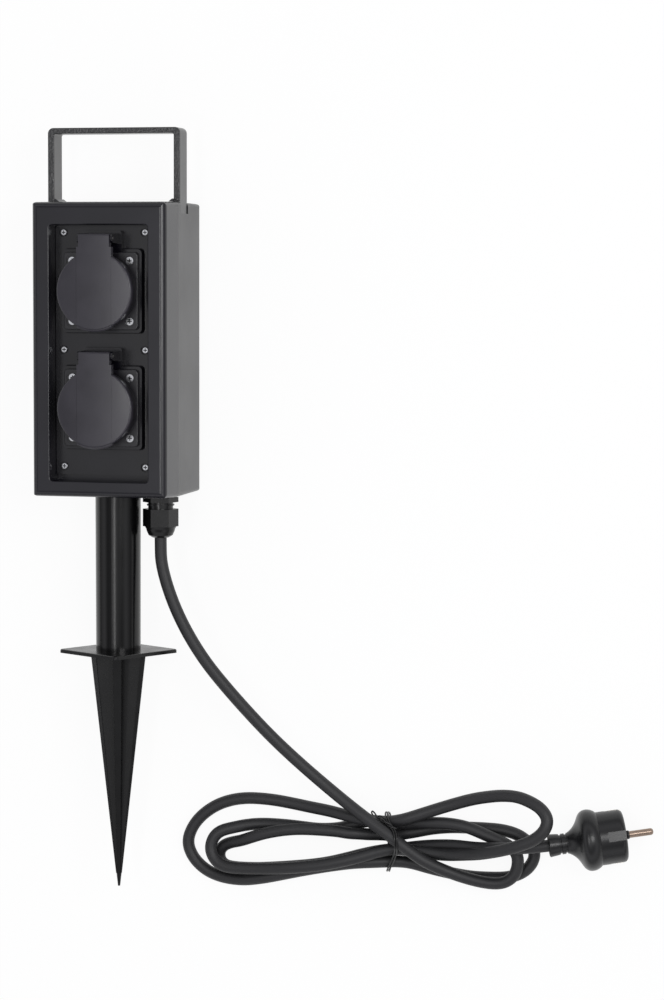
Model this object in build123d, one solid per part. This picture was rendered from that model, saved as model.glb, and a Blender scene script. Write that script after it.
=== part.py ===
from build123d import *
import math
import os

os.makedirs("parts", exist_ok=True)

# Frame: origin on the tube axis at the underside of the ground plate, +Y up the post,
# +Z out of the socket faces, +X to the right when looking at the sockets. Millimetres.
TABLE_Z = -41.5

# The two sockets set the height of the recess, and the frame round the recess makes the box
SOCKET_Y = {"lower": 177.2, "upper": 258.7}
BELOW_SOCKET = 51.7
ABOVE_SOCKET = 46.1
RECESS_Y0 = SOCKET_Y["lower"] - BELOW_SOCKET
RECESS_Y1 = SOCKET_Y["upper"] + ABOVE_SOCKET
RECESS_HALF_W = 36.0
FRAME_LOW = 10.6
FRAME_HIGH = 15.5
FRAME_SIDE = 12.7

# Box
BOX_BOTTOM = RECESS_Y0 - FRAME_LOW
BOX_TOP = RECESS_Y1 + FRAME_HIGH
BOX_Y = (BOX_BOTTOM + BOX_TOP) / 2
FRONT_Z = 44.2
PARTING_Z = 15.5
REAR_Z = TABLE_Z
FRONT_HALF_W = RECESS_HALF_W + FRAME_SIDE
FRONT_HALF_H = (BOX_TOP - BOX_BOTTOM) / 2
PARTING_GROWTH = 1.0
REAR_GROWTH = 0.5
WALL = 2.8
FLOOR = 3.0
FRONT_EDGE_R = 4.2
REAR_EDGE_R = 4.0
CORNER_R = 3.0

# Recess in the front shell and the plate that closes it
RECESS_R = 2.5
RECESS_WALL = 2.4
LEDGE_W = 12.0
LEDGE_T = 2.5
PLATE_Z = 30.0
PLATE_T = 3.0
PLATE_SEAL_T = 1.0
PLATE_Y0 = RECESS_Y0 + 4.2
PLATE_SIDE_GAP = 0.3
PLATE_SCREW_X = RECESS_HALF_W - 6.2
PLATE_SCREW_LOW = RECESS_Y0 + 10.0
PLATE_SCREW_HIGH = RECESS_Y1 - 5.3
PLATE_SCREW_Y = (PLATE_SCREW_LOW, (PLATE_SCREW_LOW + PLATE_SCREW_HIGH) / 2, PLATE_SCREW_HIGH)
PLATE_SCREW_R = 1.45
PLATE_HEAD_R = 2.4
PLATE_HEAD_T = 1.5
PLATE_COUNTERBORE_R = 3.3
BOSS_R = 4.2
FIT = 0.05

# Sockets
PLATFORM = 58.0
PLATFORM_Z = 35.4
BUMP_HALF_W = 14.5
BUMP_TOP = 42.0
FLANGE = 54.0
FLANGE_T = 2.5
GASKET_T = 0.5
FLANGE_SCREW = 21.0
FLANGE_SCREW_R = 1.4
FLANGE_HEAD_R = 2.7
FLANGE_SINK_R = 4.2
COLLAR_R = 25.7
COLLAR_Z = 48.0
WELL_R = 19.5
WELL_DEPTH = 17.5
BARREL_R = 22.5
BARREL_BACK_Z = 6.0
CHAMBER_R = 20.0
PIN_PITCH = 19.0
PIN_R = 2.4
SLEEVE_R = 3.3

# Lids
LID_R = 27.3
LIP_R = 28.3
LID_Z = 53.8
LID_T = 2.2
LID_SKIRT_Z = 49.3
LID_SKIRT_T = 1.4
BAND_HALF_W = 12.7
BAND_TOP = 30.5
TAB_HALF_W = 11.2
HINGE_UP = 36.5
HINGE_Z = 49.4
HINGE_PIN_R = 1.25
KNUCKLE_R = 3.0
EAR_T = 1.5
EAR_GAP = 0.15
SPRING_WIRE_R = 0.3
SPRING_MEAN_R = 2.2

# Handle
HANDLE_HALF_W = FRONT_HALF_W + 0.1
HANDLE_T = 4.7
HANDLE_BAR_T = 4.1
HANDLE_HALF_D = 8.8
HANDLE_TOP_Y = BOX_TOP + 53.1
HANDLE_FOOT_Y = BOX_TOP - 7.1
HANDLE_OUTER_R = 4.0

# Post
TUBE_R_TOP = 16.2
TUBE_R_LOW = 15.95
TUBE_WALL = 2.0
TUBE_END_Y = BOX_BOTTOM + 35.1
TUBE_GAP = 0.1
GROUND_T = 2.6
GROUND_W = 60.6
GROUND_TURN = 14.9
SPIKE_TIP_Y = -169.7
SPIKE_ARM = 19.7
SPIKE_WEB = 1.7
SPIKE_EDGE = 3.5
SPIKE_EDGE_DEPTH = 3.4

# Gland
GLAND_X = 31.7
GLAND_AF = 22.0
GLAND_TURN = 13.6
GLAND_PAD_Y = BOX_BOTTOM - 1.1
GLAND_SEAL_T = 1.2
GLAND_BODY_Y = GLAND_PAD_Y - 4.7
GLAND_RING_Y = GLAND_BODY_Y - 2.4
GLAND_NUT_Y = GLAND_BODY_Y - 4.8
GLAND_HEX_END_Y = GLAND_NUT_Y - 12.5
GLAND_DOME_Y = GLAND_HEX_END_Y - 1.7
GLAND_EXIT_Y = GLAND_DOME_Y - 6.2
GLAND_DOME_R = 10.4
GLAND_EXIT_R = 6.0
GLAND_NECK_R = 8.9
GLAND_RING_R = 9.8
THREAD_R = 8.0

# Cord and plug
CORD_R = 4.35


def slab(x, y, width, height, radius, z0, z1):
    return Pos(x, y, z0) * extrude(RectangleRounded(width, height, radius), z1 - z0)


def block(x0, x1, y0, y1, z0, z1):
    return Pos((x0 + x1) / 2, (y0 + y1) / 2, (z0 + z1) / 2) * Box(x1 - x0, y1 - y0, z1 - z0)


def rod(radius, start, end):
    start, end = Vector(*start), Vector(*end)
    along = end - start
    upright = (Align.CENTER, Align.CENTER, Align.MIN)
    return Plane(origin=start, z_dir=along) * Cylinder(radius, along.length, align=upright)


def turned(points, origin, axis):
    # points are (radius, distance along the axis)
    outline = Plane.XZ * make_face(Polyline(*points, close=True))
    return Plane(origin=origin, z_dir=axis) * revolve(outline, Axis.Z, 360)


def hexagon(across_flats, centre, length, turn=0.0):
    face = RegularPolygon(across_flats / 2, 6, major_radius=False, rotation=turn)
    return Plane(origin=centre, x_dir=(1, 0, 0), z_dir=(0, 1, 0)) * extrude(face, length)


def save(shape, name):
    if isinstance(shape, (list, tuple)):
        shape = Compound(children=list(shape))
    export_step(shape, f"parts/{name}.step")
    print(name, round(shape.volume, 1))


# Drafted half of the box: sides that lean outward to the parting, long edges rounded off
def drafted(z_round, z_flat, half_round, half_flat, edge_r, corner_r):
    sections = []
    for half, z in ((half_flat, z_flat), (half_round, z_round)):
        sections.append(Pos(0, 0, z) * RectangleRounded(2 * half[0], 2 * half[1], corner_r))
    body = loft(sections, ruled=True)
    for axis, plane in ((0, Plane.XZ), (1, Plane.YZ)):
        cutter = edge_cutter(half_round[axis], z_round, half_flat[axis], z_flat, edge_r)
        for turn in (0, 180):
            body -= Rot(0, 0, turn) * extrude(plane * cutter, 130, both=True)
    return Pos(0, BOX_Y, 0) * body


# Section of what is taken off a corner when it is rounded with radius r
def edge_cutter(x_corner, z_corner, x_side, z_side, r):
    corner, side = Vector(x_corner, z_corner), Vector(x_side, z_side)
    u1, u2 = Vector(-1, 0), (side - corner).normalized()
    half_angle = math.acos(u1.dot(u2)) / 2
    middle = (u1 + u2).normalized()
    t1 = corner + u1 * (r / math.tan(half_angle))
    t2 = corner + u2 * (r / math.tan(half_angle))
    bottom = corner + middle * (r / math.sin(half_angle) - r)
    out_z = Vector(0, 1 if z_corner > z_side else -1)
    out_x = Vector(1, 0)
    lines = Polyline(t1, t1 + out_z, corner + out_z + out_x, t2 + out_x, t2)
    lines += ThreePointArc(t2, bottom, t1)
    return make_face(lines)


def grown(amount, inset=0.0):
    return (FRONT_HALF_W + amount - inset, FRONT_HALF_H + amount - inset)


RECESS_CY = (RECESS_Y0 + RECESS_Y1) / 2
RECESS_H = RECESS_Y1 - RECESS_Y0
LEDGE_Z1 = PLATE_Z - PLATE_T - PLATE_SEAL_T
LEDGE_Z0 = LEDGE_Z1 - LEDGE_T
LEDGE_HALF_W = RECESS_HALF_W - LEDGE_W
SCREW_SPOTS = [(x, y) for x in (-PLATE_SCREW_X, PLATE_SCREW_X) for y in PLATE_SCREW_Y]
LEDGE_BOTTOM = PLATE_SCREW_Y[0] + 5.5
LEDGE_TOP = PLATE_SCREW_Y[2] - 5.5


def ledge_opening(z0, z1, margin=0.0):
    height = LEDGE_TOP - LEDGE_BOTTOM - 2 * margin
    middle = (LEDGE_TOP + LEDGE_BOTTOM) / 2
    return slab(0, middle, 2 * (LEDGE_HALF_W - margin), height, 2.0, z0, z1)


def make_front_shell():
    body = drafted(FRONT_Z, PARTING_Z, grown(0), grown(PARTING_GROWTH), FRONT_EDGE_R, CORNER_R)
    body -= drafted(FRONT_Z - WALL, PARTING_Z, grown(0, WALL), grown(PARTING_GROWTH, WALL), 1.6, 1.0)
    opening = slab(0, RECESS_CY, 2 * RECESS_HALF_W, RECESS_H, RECESS_R, PARTING_Z, FRONT_Z + 1)
    body -= opening
    lips = [e for e in body.edges()
            if abs(e.center().Z - FRONT_Z) < 0.01 and abs(e.center().X) < RECESS_HALF_W + 0.1
            and RECESS_Y0 - 0.1 < e.center().Y < RECESS_Y1 + 0.1]
    body = fillet(lips, 0.7)
    outer_w = 2 * (RECESS_HALF_W + RECESS_WALL)
    outer_h = RECESS_H + 2 * RECESS_WALL
    outer_r = RECESS_R + RECESS_WALL
    wall = slab(0, RECESS_CY, outer_w, outer_h, outer_r, LEDGE_Z0, FRONT_Z - WALL + 0.5)
    wall -= slab(0, RECESS_CY, 2 * RECESS_HALF_W, RECESS_H, RECESS_R, LEDGE_Z1, FRONT_Z)
    wall -= ledge_opening(LEDGE_Z0 - 1, LEDGE_Z1 + 1)
    body += wall
    for x, y in SCREW_SPOTS:
        body -= rod(PLATE_SCREW_R + 0.2, (x, y, LEDGE_Z0 - 1), (x, y, LEDGE_Z1 + 1))
    body -= rod(TUBE_R_TOP + TUBE_GAP, (0, 100, 0), (0, 125, 0))
    return body


GROOVE_W = 1.3
GROOVE_DEPTH = 1.0
SEAL_MID = FRONT_HALF_W + PARTING_GROWTH - WALL / 2


def ring_in_rim(width, z0, z1):
    outer = 2 * (SEAL_MID + width / 2)
    inner = 2 * (SEAL_MID - width / 2)
    extra = 2 * (FRONT_HALF_H - FRONT_HALF_W)
    corner = 1.7 + width / 2
    ring = slab(0, BOX_Y, outer, outer + extra, corner, z0, z1)
    return ring - slab(0, BOX_Y, inner, inner + extra, corner - width, z0 - 1, z1 + 1)


def make_rear_shell():
    body = drafted(REAR_Z, PARTING_Z, grown(REAR_GROWTH), grown(PARTING_GROWTH), REAR_EDGE_R, CORNER_R)
    floor_z = REAR_Z + FLOOR
    inside = drafted(floor_z, PARTING_Z, grown(REAR_GROWTH, WALL), grown(PARTING_GROWTH, WALL), 1.6, 1.0)
    body -= inside
    body -= ring_in_rim(GROOVE_W, PARTING_Z - GROOVE_DEPTH, PARTING_Z + 1)
    # bosses for the plate screws; the two lower ones are carried by the side walls over the cord
    side = FRONT_HALF_W + REAR_GROWTH - WALL + 0.5
    for x, y in SCREW_SPOTS:
        out = math.copysign(1, x)
        low = y == PLATE_SCREW_Y[0]
        foot = 7.0 if low else floor_z
        body += rod(BOSS_R, (x, y, foot), (x, y, LEDGE_Z0))
        web_top = PARTING_Z - 2.0 if low else -6.0
        x0, x1 = sorted((x + out * 1.0, out * (side + 0.6)))
        body += block(x0, x1, y - 1.2, y + 1.2, foot, web_top)
        body -= rod(PLATE_SCREW_R + FIT, (x, y, 8.5), (x, y, LEDGE_Z0 + 1))
    # collar round the post tube on two webs from the floor
    inner_y = BOX_Y - FRONT_HALF_H - PARTING_GROWTH + WALL
    collar = rod(TUBE_R_TOP + TUBE_GAP + 2.6, (0, inner_y - 0.4, 0), (0, TUBE_END_Y, 0))
    for y in (inner_y + 4, TUBE_END_Y - 3):
        collar += block(-15, 15, y, y + 2.6, floor_z - 0.5, -6)
    collar -= block(-40, 40, inner_y - 3, inner_y, PARTING_Z - 0.01, 40)
    body += collar
    body += rod(5.5, (0, POST_SCREW_Y, floor_z - 0.5), (0, POST_SCREW_Y, -15))
    body -= rod(TUBE_R_TOP + TUBE_GAP, (0, 100, 0), (0, TUBE_END_Y + 5, 0))
    body -= rod(POST_HEAD_R + 0.3, (0, POST_SCREW_Y, REAR_Z - 1), (0, POST_SCREW_Y, POST_HEAD_Z))
    body -= rod(POST_SCREW_R + 0.15, (0, POST_SCREW_Y, REAR_Z), (0, POST_SCREW_Y, 0))
    # flat pad for the gland
    body += rod(13.5, (GLAND_X, GLAND_PAD_Y, 0), (GLAND_X, inner_y + 0.4, 0))
    body -= rod(THREAD_R + 0.1, (GLAND_X, 100, 0), (GLAND_X, inner_y + 3, 0))
    # pockets for the handle feet and the small ramps beside them
    top = BOX_Y + FRONT_HALF_H + PARTING_GROWTH
    depth = HANDLE_HALF_D
    for out in (-1, 1):
        inner_x = HANDLE_HALF_W - HANDLE_T
        x0, x1 = sorted((out * (inner_x - 3.0), out * (side + 0.5)))
        body += block(x0, x1, TONGUE_Y0 - 2.5, top - 1.5, -depth - 2.6, depth + 2.6)
        x0, x1 = sorted((out * (inner_x - FIT), out * (HANDLE_HALF_W + 12)))
        body -= block(x0, x1, HANDLE_FOOT_Y - FIT, top + 5, -depth - FIT, depth + FIT)
        x0, x1 = sorted((out * (inner_x - FIT), out * (inner_x + TONGUE_T + FIT)))
        body -= block(x0, x1, TONGUE_Y0 - FIT, top, -TONGUE_HALF_D - FIT, TONGUE_HALF_D + FIT)
        profile = [(out * (inner_x - FIT), top - 1), (out * (inner_x - FIT), top + 2.2),
                   (out * (inner_x - 1.2), top + 2.2), (out * (inner_x - 5.2), top - 1)]
        ramp = extrude(make_face(Polyline(*profile, close=True)), depth, both=True)
        body += ramp
        screw_y = HANDLE_SCREW_Y
        body -= rod(HANDLE_SCREW_R + 0.15, (out * (inner_x - 14), screw_y, 0), (out * (inner_x + 0.5), screw_y, 0))
    return body


TONGUE_T = 2.0
TONGUE_Y0 = HANDLE_FOOT_Y - 8.7
TONGUE_HALF_D = 5.0
HANDLE_SCREW_Y = HANDLE_FOOT_Y - 4.7
HANDLE_SCREW_R = 1.4
HANDLE_HEAD_R = 2.6
POST_SCREW_Y = BOX_BOTTOM + 19.1
POST_SCREW_R = 2.0
POST_HEAD_R = 3.8
POST_HEAD_Z = -25.0


def make_handle():
    inner_x = HANDLE_HALF_W - HANDLE_T
    outer = make_face(Polyline((-HANDLE_HALF_W, HANDLE_FOOT_Y), (HANDLE_HALF_W, HANDLE_FOOT_Y),
                               (HANDLE_HALF_W, HANDLE_TOP_Y), (-HANDLE_HALF_W, HANDLE_TOP_Y), close=True))
    bar_y = HANDLE_TOP_Y - HANDLE_BAR_T
    outer = fillet([v for v in outer.vertices() if v.Y > bar_y - 1], HANDLE_OUTER_R)
    inner = make_face(Polyline((-inner_x, HANDLE_FOOT_Y - 5), (inner_x, HANDLE_FOOT_Y - 5),
                               (inner_x, bar_y), (-inner_x, bar_y),
                               close=True))
    inner = fillet([v for v in inner.vertices() if v.Y > bar_y - 1], 1.5)
    strap = extrude(outer - inner, HANDLE_HALF_D, both=True)
    long_edges = [e for e in strap.edges()
                  if abs(abs(e.center().Z) - HANDLE_HALF_D) < 0.01 and e.center().Y > HANDLE_FOOT_Y + 0.1]
    strap = fillet(long_edges, 0.7)
    for out in (-1, 1):
        x0, x1 = sorted((out * inner_x, out * (inner_x + TONGUE_T)))
        strap += block(x0, x1, TONGUE_Y0, HANDLE_FOOT_Y + 0.5, -TONGUE_HALF_D, TONGUE_HALF_D)
        strap -= rod(HANDLE_SCREW_R + FIT, (out * (inner_x - 4), HANDLE_SCREW_Y, 0), (out * (HANDLE_HALF_W + 2), HANDLE_SCREW_Y, 0))
    return strap


def screw(head_r, head_t, shank_r, seat, end, countersunk=False, cross=True):
    # seat is the point under the head, end is the tip
    seat_v, end_v = Vector(*seat), Vector(*end)
    along = (end_v - seat_v)
    length = along.length
    if countersunk:
        points = [(0, -head_t), (head_r, -head_t), (shank_r, head_r - shank_r - head_t),
                  (shank_r, length - shank_r), (0.4, length), (0, length)]
    else:
        points = [(0, -head_t), (head_r - 0.5, -head_t), (head_r, -head_t + 0.5), (head_r, 0),
                  (shank_r, 0), (shank_r, length - shank_r), (0.4, length), (0, length)]
    body = turned(points, seat, along)
    if cross:
        plane = Plane(origin=seat_v - along.normalized() * head_t, z_dir=along)
        arm = head_r * 1.15
        slot = Box(arm, 0.7, 1.8) + Box(0.7, arm, 1.8)
        body -= plane * slot
    return body


def make_plate():
    height = RECESS_Y1 - PLATE_SIDE_GAP - PLATE_Y0
    width = 2 * (RECESS_HALF_W - PLATE_SIDE_GAP)
    back = PLATE_Z - PLATE_T
    body = slab(0, PLATE_Y0 + height / 2, width, height, 2.4, back, PLATE_Z)
    for y in SOCKET_Y.values():
        base = Pos(0, y, PLATE_Z - 0.5) * RectangleRounded(PLATFORM + 1.5, PLATFORM + 1.5, 3.2)
        top = Pos(0, y, PLATFORM_Z) * RectangleRounded(PLATFORM, PLATFORM, 3.0)
        body += loft([base, top])
        bump_y0 = y + PLATFORM / 2 - 6
        bump_h = y + BUMP_TOP - bump_y0
        body += slab(0, bump_y0 + bump_h / 2, 2 * BUMP_HALF_W, bump_h, 2.0, PLATE_Z - 0.5, PLATFORM_Z)
        body += ears(y)
        body -= rod(BARREL_R + 0.3, (0, y, back - 1), (0, y, PLATFORM_Z + 1))
        body -= rod(24.6, (0, y, back - 1), (0, y, PLATFORM_Z - 2.4))
        for sx in (-1, 1):
            for sy in (-1, 1):
                spot = (sx * FLANGE_SCREW, y + sy * FLANGE_SCREW)
                body -= rod(FLANGE_SCREW_R + FIT, (*spot, back - 1), (*spot, PLATFORM_Z + 1))
    for x, y in SCREW_SPOTS:
        body -= rod(PLATE_SCREW_R + 0.2, (x, y, back - 1), (x, y, PLATE_Z + 1))
        body -= rod(PLATE_COUNTERBORE_R, (x, y, PLATE_Z - 1.4), (x, y, PLATE_Z + 1))
    return body


# Two ears rise from the platform behind the flange and carry the hinge pin
def ears(y):
    eye_y, eye_r = y + HINGE_UP, 3.1
    shape = Plane.YZ * make_face(Polyline((y + 32.6, PLATFORM_Z - 1), (y + 40.0, PLATFORM_Z - 1),
                                          (eye_y + eye_r, HINGE_Z), (eye_y - eye_r, HINGE_Z), close=True))
    result = None
    for out in (-1, 1):
        x0 = out * (TAB_HALF_W + EAR_GAP)
        ear = Pos(x0, 0, 0) * extrude(shape, out * EAR_T)
        ear += rod(eye_r, (x0, eye_y, HINGE_Z), (x0 + out * EAR_T, eye_y, HINGE_Z))
        ear -= rod(HINGE_PIN_R + FIT, (x0 - out, eye_y, HINGE_Z), (x0 + out * 3, eye_y, HINGE_Z))
        result = ear if result is None else result + ear
    return result


def make_plate_seal():
    z0, z1 = LEDGE_Z1, LEDGE_Z1 + PLATE_SEAL_T
    y0, y1 = PLATE_Y0 + 0.4, RECESS_Y1 - PLATE_SIDE_GAP - 0.3
    width = 2 * (RECESS_HALF_W - PLATE_SIDE_GAP - 0.3)
    seal = slab(0, (y0 + y1) / 2, width, y1 - y0, 2.2, z0, z1)
    seal -= ledge_opening(z0 - 1, z1 + 1, -0.6)
    for x, y in SCREW_SPOTS:
        seal -= rod(PLATE_SCREW_R + 0.2, (x, y, z0 - 1), (x, y, z1 + 1))
    return seal


GASKET_Z = PLATFORM_Z + GASKET_T
FLANGE_Z = GASKET_Z + FLANGE_T
WELL_Z = COLLAR_Z - WELL_DEPTH
CHAMBER_Z = WELL_Z - 2.6
NOTCH_HALF_W = 12.9
NOTCH_Y = 24.6
CLIP_R = 18.5
CLIP_T = 0.8
CLIP_HALF_W = 2.0
CLIP_BACK_Z = 8.6


def flange_plan(y, z0, z1, notch=True):
    plan = slab(0, y, FLANGE, FLANGE, 2.8, z0, z1)
    if notch:
        plan -= block(-NOTCH_HALF_W, NOTCH_HALF_W, y + NOTCH_Y + 1.9, y + 30, z0 - 1, z1 + 1)
    return plan


def make_socket_body(y):
    body = flange_plan(y, GASKET_Z, FLANGE_Z)
    rim = [e for e in body.edges() if abs(e.center().Z - FLANGE_Z) < 0.01]
    body = fillet(rim, 0.6)
    body += rod(COLLAR_R, (0, y, GASKET_Z + 0.5), (0, y, COLLAR_Z))
    body = fillet([e for e in body.edges() if abs(e.center().Z - COLLAR_Z) < 0.01], 0.8)
    body += rod(BARREL_R, (0, y, BARREL_BACK_Z), (0, y, GASKET_Z + 1))
    body -= rod(WELL_R, (0, y, WELL_Z), (0, y, COLLAR_Z + 1))
    body = fillet([e for e in body.edges()
                   if abs(e.center().Z - COLLAR_Z) < 0.01 and abs(e.radius - WELL_R) < 0.01], 0.6)
    body -= rod(CHAMBER_R, (0, y, BARREL_BACK_Z - 1), (0, y, CHAMBER_Z))
    for out in (-1, 1):
        x0, x1 = sorted((out * 17.4, out * (WELL_R + 0.6)))
        ridge = block(x0, x1, y - 2.4, y + 2.4, WELL_Z - 0.5, COLLAR_Z - 2)
        ridge = fillet(ridge.edges().filter_by(Axis.Z).sort_by(lambda e: abs(e.center().X))[0:2], 1.0)
        body += ridge
        x = out * PIN_PITCH / 2
        body -= turned([(0, 0), (PIN_R + 0.3, 0), (PIN_R + 0.3, 2.0), (PIN_R + 0.9, 2.61), (0, 2.61)],
                       (x, y, CHAMBER_Z), (0, 0, 1))
        y0, y1 = sorted((y + out * (CLIP_R - 2.9), y + out * (CLIP_R + 0.3)))
        body -= block(-CLIP_HALF_W - 0.3, CLIP_HALF_W + 0.3, y0, y1, CHAMBER_Z - 1, WELL_Z + 1)
    for sx in (-1, 1):
        for sy in (-1, 1):
            spot = (sx * FLANGE_SCREW, y + sy * FLANGE_SCREW)
            body -= rod(FLANGE_SCREW_R + 0.3, (*spot, GASKET_Z - 1), (*spot, FLANGE_Z + 1))
            body -= turned([(0, 0), (FLANGE_SCREW_R + 0.3, 0), (FLANGE_SINK_R - 1.2, 1.3),
                            (FLANGE_SINK_R, 1.31), (FLANGE_SINK_R, 2), (0, 2)],
                           (*spot, FLANGE_Z - 1.8), (0, 0, 1))
    return body


def make_gasket(y):
    gasket = flange_plan(y, PLATFORM_Z, GASKET_Z) - rod(BARREL_R + 0.3, (0, y, 30), (0, y, 40))
    for sx in (-1, 1):
        for sy in (-1, 1):
            spot = (sx * FLANGE_SCREW, y + sy * FLANGE_SCREW)
            gasket -= rod(FLANGE_SCREW_R + 0.3, (*spot, 30), (*spot, 40))
    return gasket


INSERT_Z0 = 10.0


def make_contact_insert(y):
    body = rod(CHAMBER_R - FIT, (0, y, INSERT_Z0), (0, y, CHAMBER_Z))
    for out in (-1, 1):
        y0, y1 = sorted((y + out * (CLIP_R - 1.2), y + out * (CHAMBER_R + 1)))
        body -= block(-CLIP_HALF_W - 0.3, CLIP_HALF_W + 0.3, y0, y1, INSERT_Z0 - 1, CHAMBER_Z + 1)
        x = out * PIN_PITCH / 2
        body -= rod(SLEEVE_R + FIT, (x, y, INSERT_Z0 - 1), (x, y, CHAMBER_Z + 1))
    body -= rod(4.0, (0, y, INSERT_Z0 + 4), (0, y, CHAMBER_Z + 1))
    return body


# Earth strap: one bent strip that passes behind the insert and comes up both sides of the well
def make_earth_clip(y):
    top = COLLAR_Z - 4.5
    mid = WELL_Z + 5.5
    side = [(CLIP_R - 0.4, CLIP_BACK_Z), (CLIP_R - 0.4, WELL_Z + 1.5), (CLIP_R - 2.2, mid), (CLIP_R - 0.6, top)]
    left = [(-a, b) for a, b in reversed(side)]
    path = FilletPolyline(*left, *side, radius=1.2)
    strip = extrude(Plane.YZ * trace(path, CLIP_T), CLIP_HALF_W, both=True)
    lug = block(-CLIP_HALF_W, CLIP_HALF_W, -2.5, 2.5, CLIP_BACK_Z - 3.4, CLIP_BACK_Z - CLIP_T / 2 + 0.05)
    lug -= rod(1.35, (-4, 0, CLIP_BACK_Z - 2.0), (4, 0, CLIP_BACK_Z - 2.0))
    return Pos(0, y, 0) * (strip + lug)


def make_contact_sleeves(y):
    sleeves = []
    for out in (-1, 1):
        x = out * PIN_PITCH / 2
        points = [(0, 6.2), (SLEEVE_R, 6.2), (SLEEVE_R, 26.6), (SLEEVE_R - 0.5, 27.4), (PIN_R + 0.05, 27.4),
                  (PIN_R + 0.05, 12.5), (1.35, 11.6), (0, 11.6)]
        body = turned(points, (x, y, 0), (0, 0, 1))
        body -= block(x - 0.3, x + 0.3, y - 5, y + 5, 15.5, 30)
        body -= rod(1.35, (x - 5, y, 8.6), (x + 5, y, 8.6))
        sleeves.append(body)
    return sleeves


def make_socket_screws(y):
    screws = []
    for sx in (-1, 1):
        for sy in (-1, 1):
            x, yy = sx * FLANGE_SCREW, y + sy * FLANGE_SCREW
            seat = (x, yy, FLANGE_Z - 0.5)
            screws.append(screw(FLANGE_HEAD_R, 0.0, FLANGE_SCREW_R, seat, (x, yy, 28.0), True))
    return screws


def make_lid(y):
    top, under = LID_Z, LID_Z - LID_T
    inner_r = LID_R - LID_SKIRT_T
    points = [(0, under), (inner_r, under), (inner_r, LID_SKIRT_Z), (LID_R, LID_SKIRT_Z),
              (LID_R, top), (0, top)]
    body = turned(points, (0, y, 0), (0, 0, 1))
    body = fillet([e for e in body.edges()
                   if abs(e.center().Z - top) < 0.01 and abs(e.radius - LID_R) < 0.01], 1.4)
    # band from the middle to the hinge, drawn in between the ears
    eye_y = y + HINGE_UP
    band = block(-BAND_HALF_W, BAND_HALF_W, y + 20, y + BAND_TOP, LID_SKIRT_Z, top)
    band -= rod(inner_r, (0, y, LID_SKIRT_Z - 1), (0, y, under))
    end = eye_y + KNUCKLE_R
    profile = [(y + 29.5, LID_SKIRT_Z + 0.2), (y + 29.5, top), (end - 1.4, top), (end - 0.4, top - 0.4),
               (end, top - 1.4), (end, HINGE_Z), (eye_y, HINGE_Z), (eye_y - 1, HINGE_Z - 1.5)]
    web = extrude(Plane.YZ * make_face(Polyline(*profile, close=True)), TAB_HALF_W, both=True)
    knuckle = rod(KNUCKLE_R, (-TAB_HALF_W, eye_y, HINGE_Z), (TAB_HALF_W, eye_y, HINGE_Z))
    body += band
    body += web + knuckle
    # lip for a finger at the end away from the hinge
    lip = rod(LIP_R, (0, y, LID_SKIRT_Z), (0, y, top)) - rod(LID_R - 0.5, (0, y, LID_SKIRT_Z - 1), (0, y, top + 1))
    lip = chamfer([e for e in lip.edges() if abs(e.center().Z - top) < 0.01 and abs(e.radius - LIP_R) < 0.01], 1.0)
    body += lip & block(-BAND_HALF_W, BAND_HALF_W, y - 40, y, LID_SKIRT_Z, top)
    for out in (-1, 1):
        x0, x1 = sorted((out * (BAND_HALF_W - 0.15), out * (BAND_HALF_W + 0.15)))
        body -= block(x0, x1, y - 30, y + 30, top - 0.15, top + 1)
    # room for the spring round the pin, open below
    half, clear = SPRING_SPAN + 0.8, SPRING_MEAN_R + SPRING_WIRE_R + 0.3
    body -= block(-half, half, eye_y - 5.3, eye_y + 5, HINGE_Z - 5, HINGE_Z)
    body -= block(-half, half, eye_y - 5.3, eye_y + clear - 1.0, HINGE_Z - 1, HINGE_Z + clear)
    body -= rod(clear, (-half, eye_y, HINGE_Z), (half, eye_y, HINGE_Z))
    body -= rod(HINGE_PIN_R + FIT, (-20, eye_y, HINGE_Z), (20, eye_y, HINGE_Z))
    return body


SPRING_SPAN = 3.2


def make_lid_seal(y):
    under = LID_Z - LID_T
    points = [(20.5, COLLAR_Z + 0.3), (25.0, COLLAR_Z + 0.3), (25.0, under), (20.5, under)]
    return turned(points, (0, y, 0), (0, 0, 1))


def make_hinge_pin(y):
    half = TAB_HALF_W + EAR_GAP + EAR_T
    eye_y = y + HINGE_UP
    pin = rod(HINGE_PIN_R, (-half, eye_y, HINGE_Z), (half, eye_y, HINGE_Z))
    return chamfer(pin.edges().filter_by(GeomType.CIRCLE), 0.2)


# Torsion spring: a close coil round the pin, one leg under the skin of the tab and one over the flange
def make_lid_spring(y):
    eye_y = y + HINGE_UP
    turns, pitch = 5.5, 1.1
    span = turns * pitch
    coil = Helix(pitch, span, SPRING_MEAN_R, center=(-span / 2, 0, 0), direction=(1, 0, 0))
    section = Plane(origin=coil @ 0, z_dir=coil % 0) * Circle(SPRING_WIRE_R)
    body = sweep(section, path=coil, is_frenet=True)
    for t in (0, 1):
        p = coil @ t
        d = coil % t
        sign = -1 if t == 0 else 1
        end = p + d * (sign * 4.5)
        body += rod(SPRING_WIRE_R, tuple(p), tuple(end))
    return Pos(0, eye_y, HINGE_Z) * Rot(180, 0, 0) * body


def make_post_tube():
    points = [(TUBE_R_LOW - TUBE_WALL, GROUND_T), (TUBE_R_LOW, GROUND_T), (TUBE_R_TOP, BOX_BOTTOM),
              (TUBE_R_TOP, TUBE_END_Y - 0.6), (TUBE_R_TOP - 0.6, TUBE_END_Y), (TUBE_R_LOW - TUBE_WALL, TUBE_END_Y)]
    tube = turned(points, (0, 0, 0), (0, 1, 0))
    tube -= rod(POST_SCREW_R - 0.4 + FIT, (0, POST_SCREW_Y, -30), (0, POST_SCREW_Y, -8))
    return tube


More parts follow.
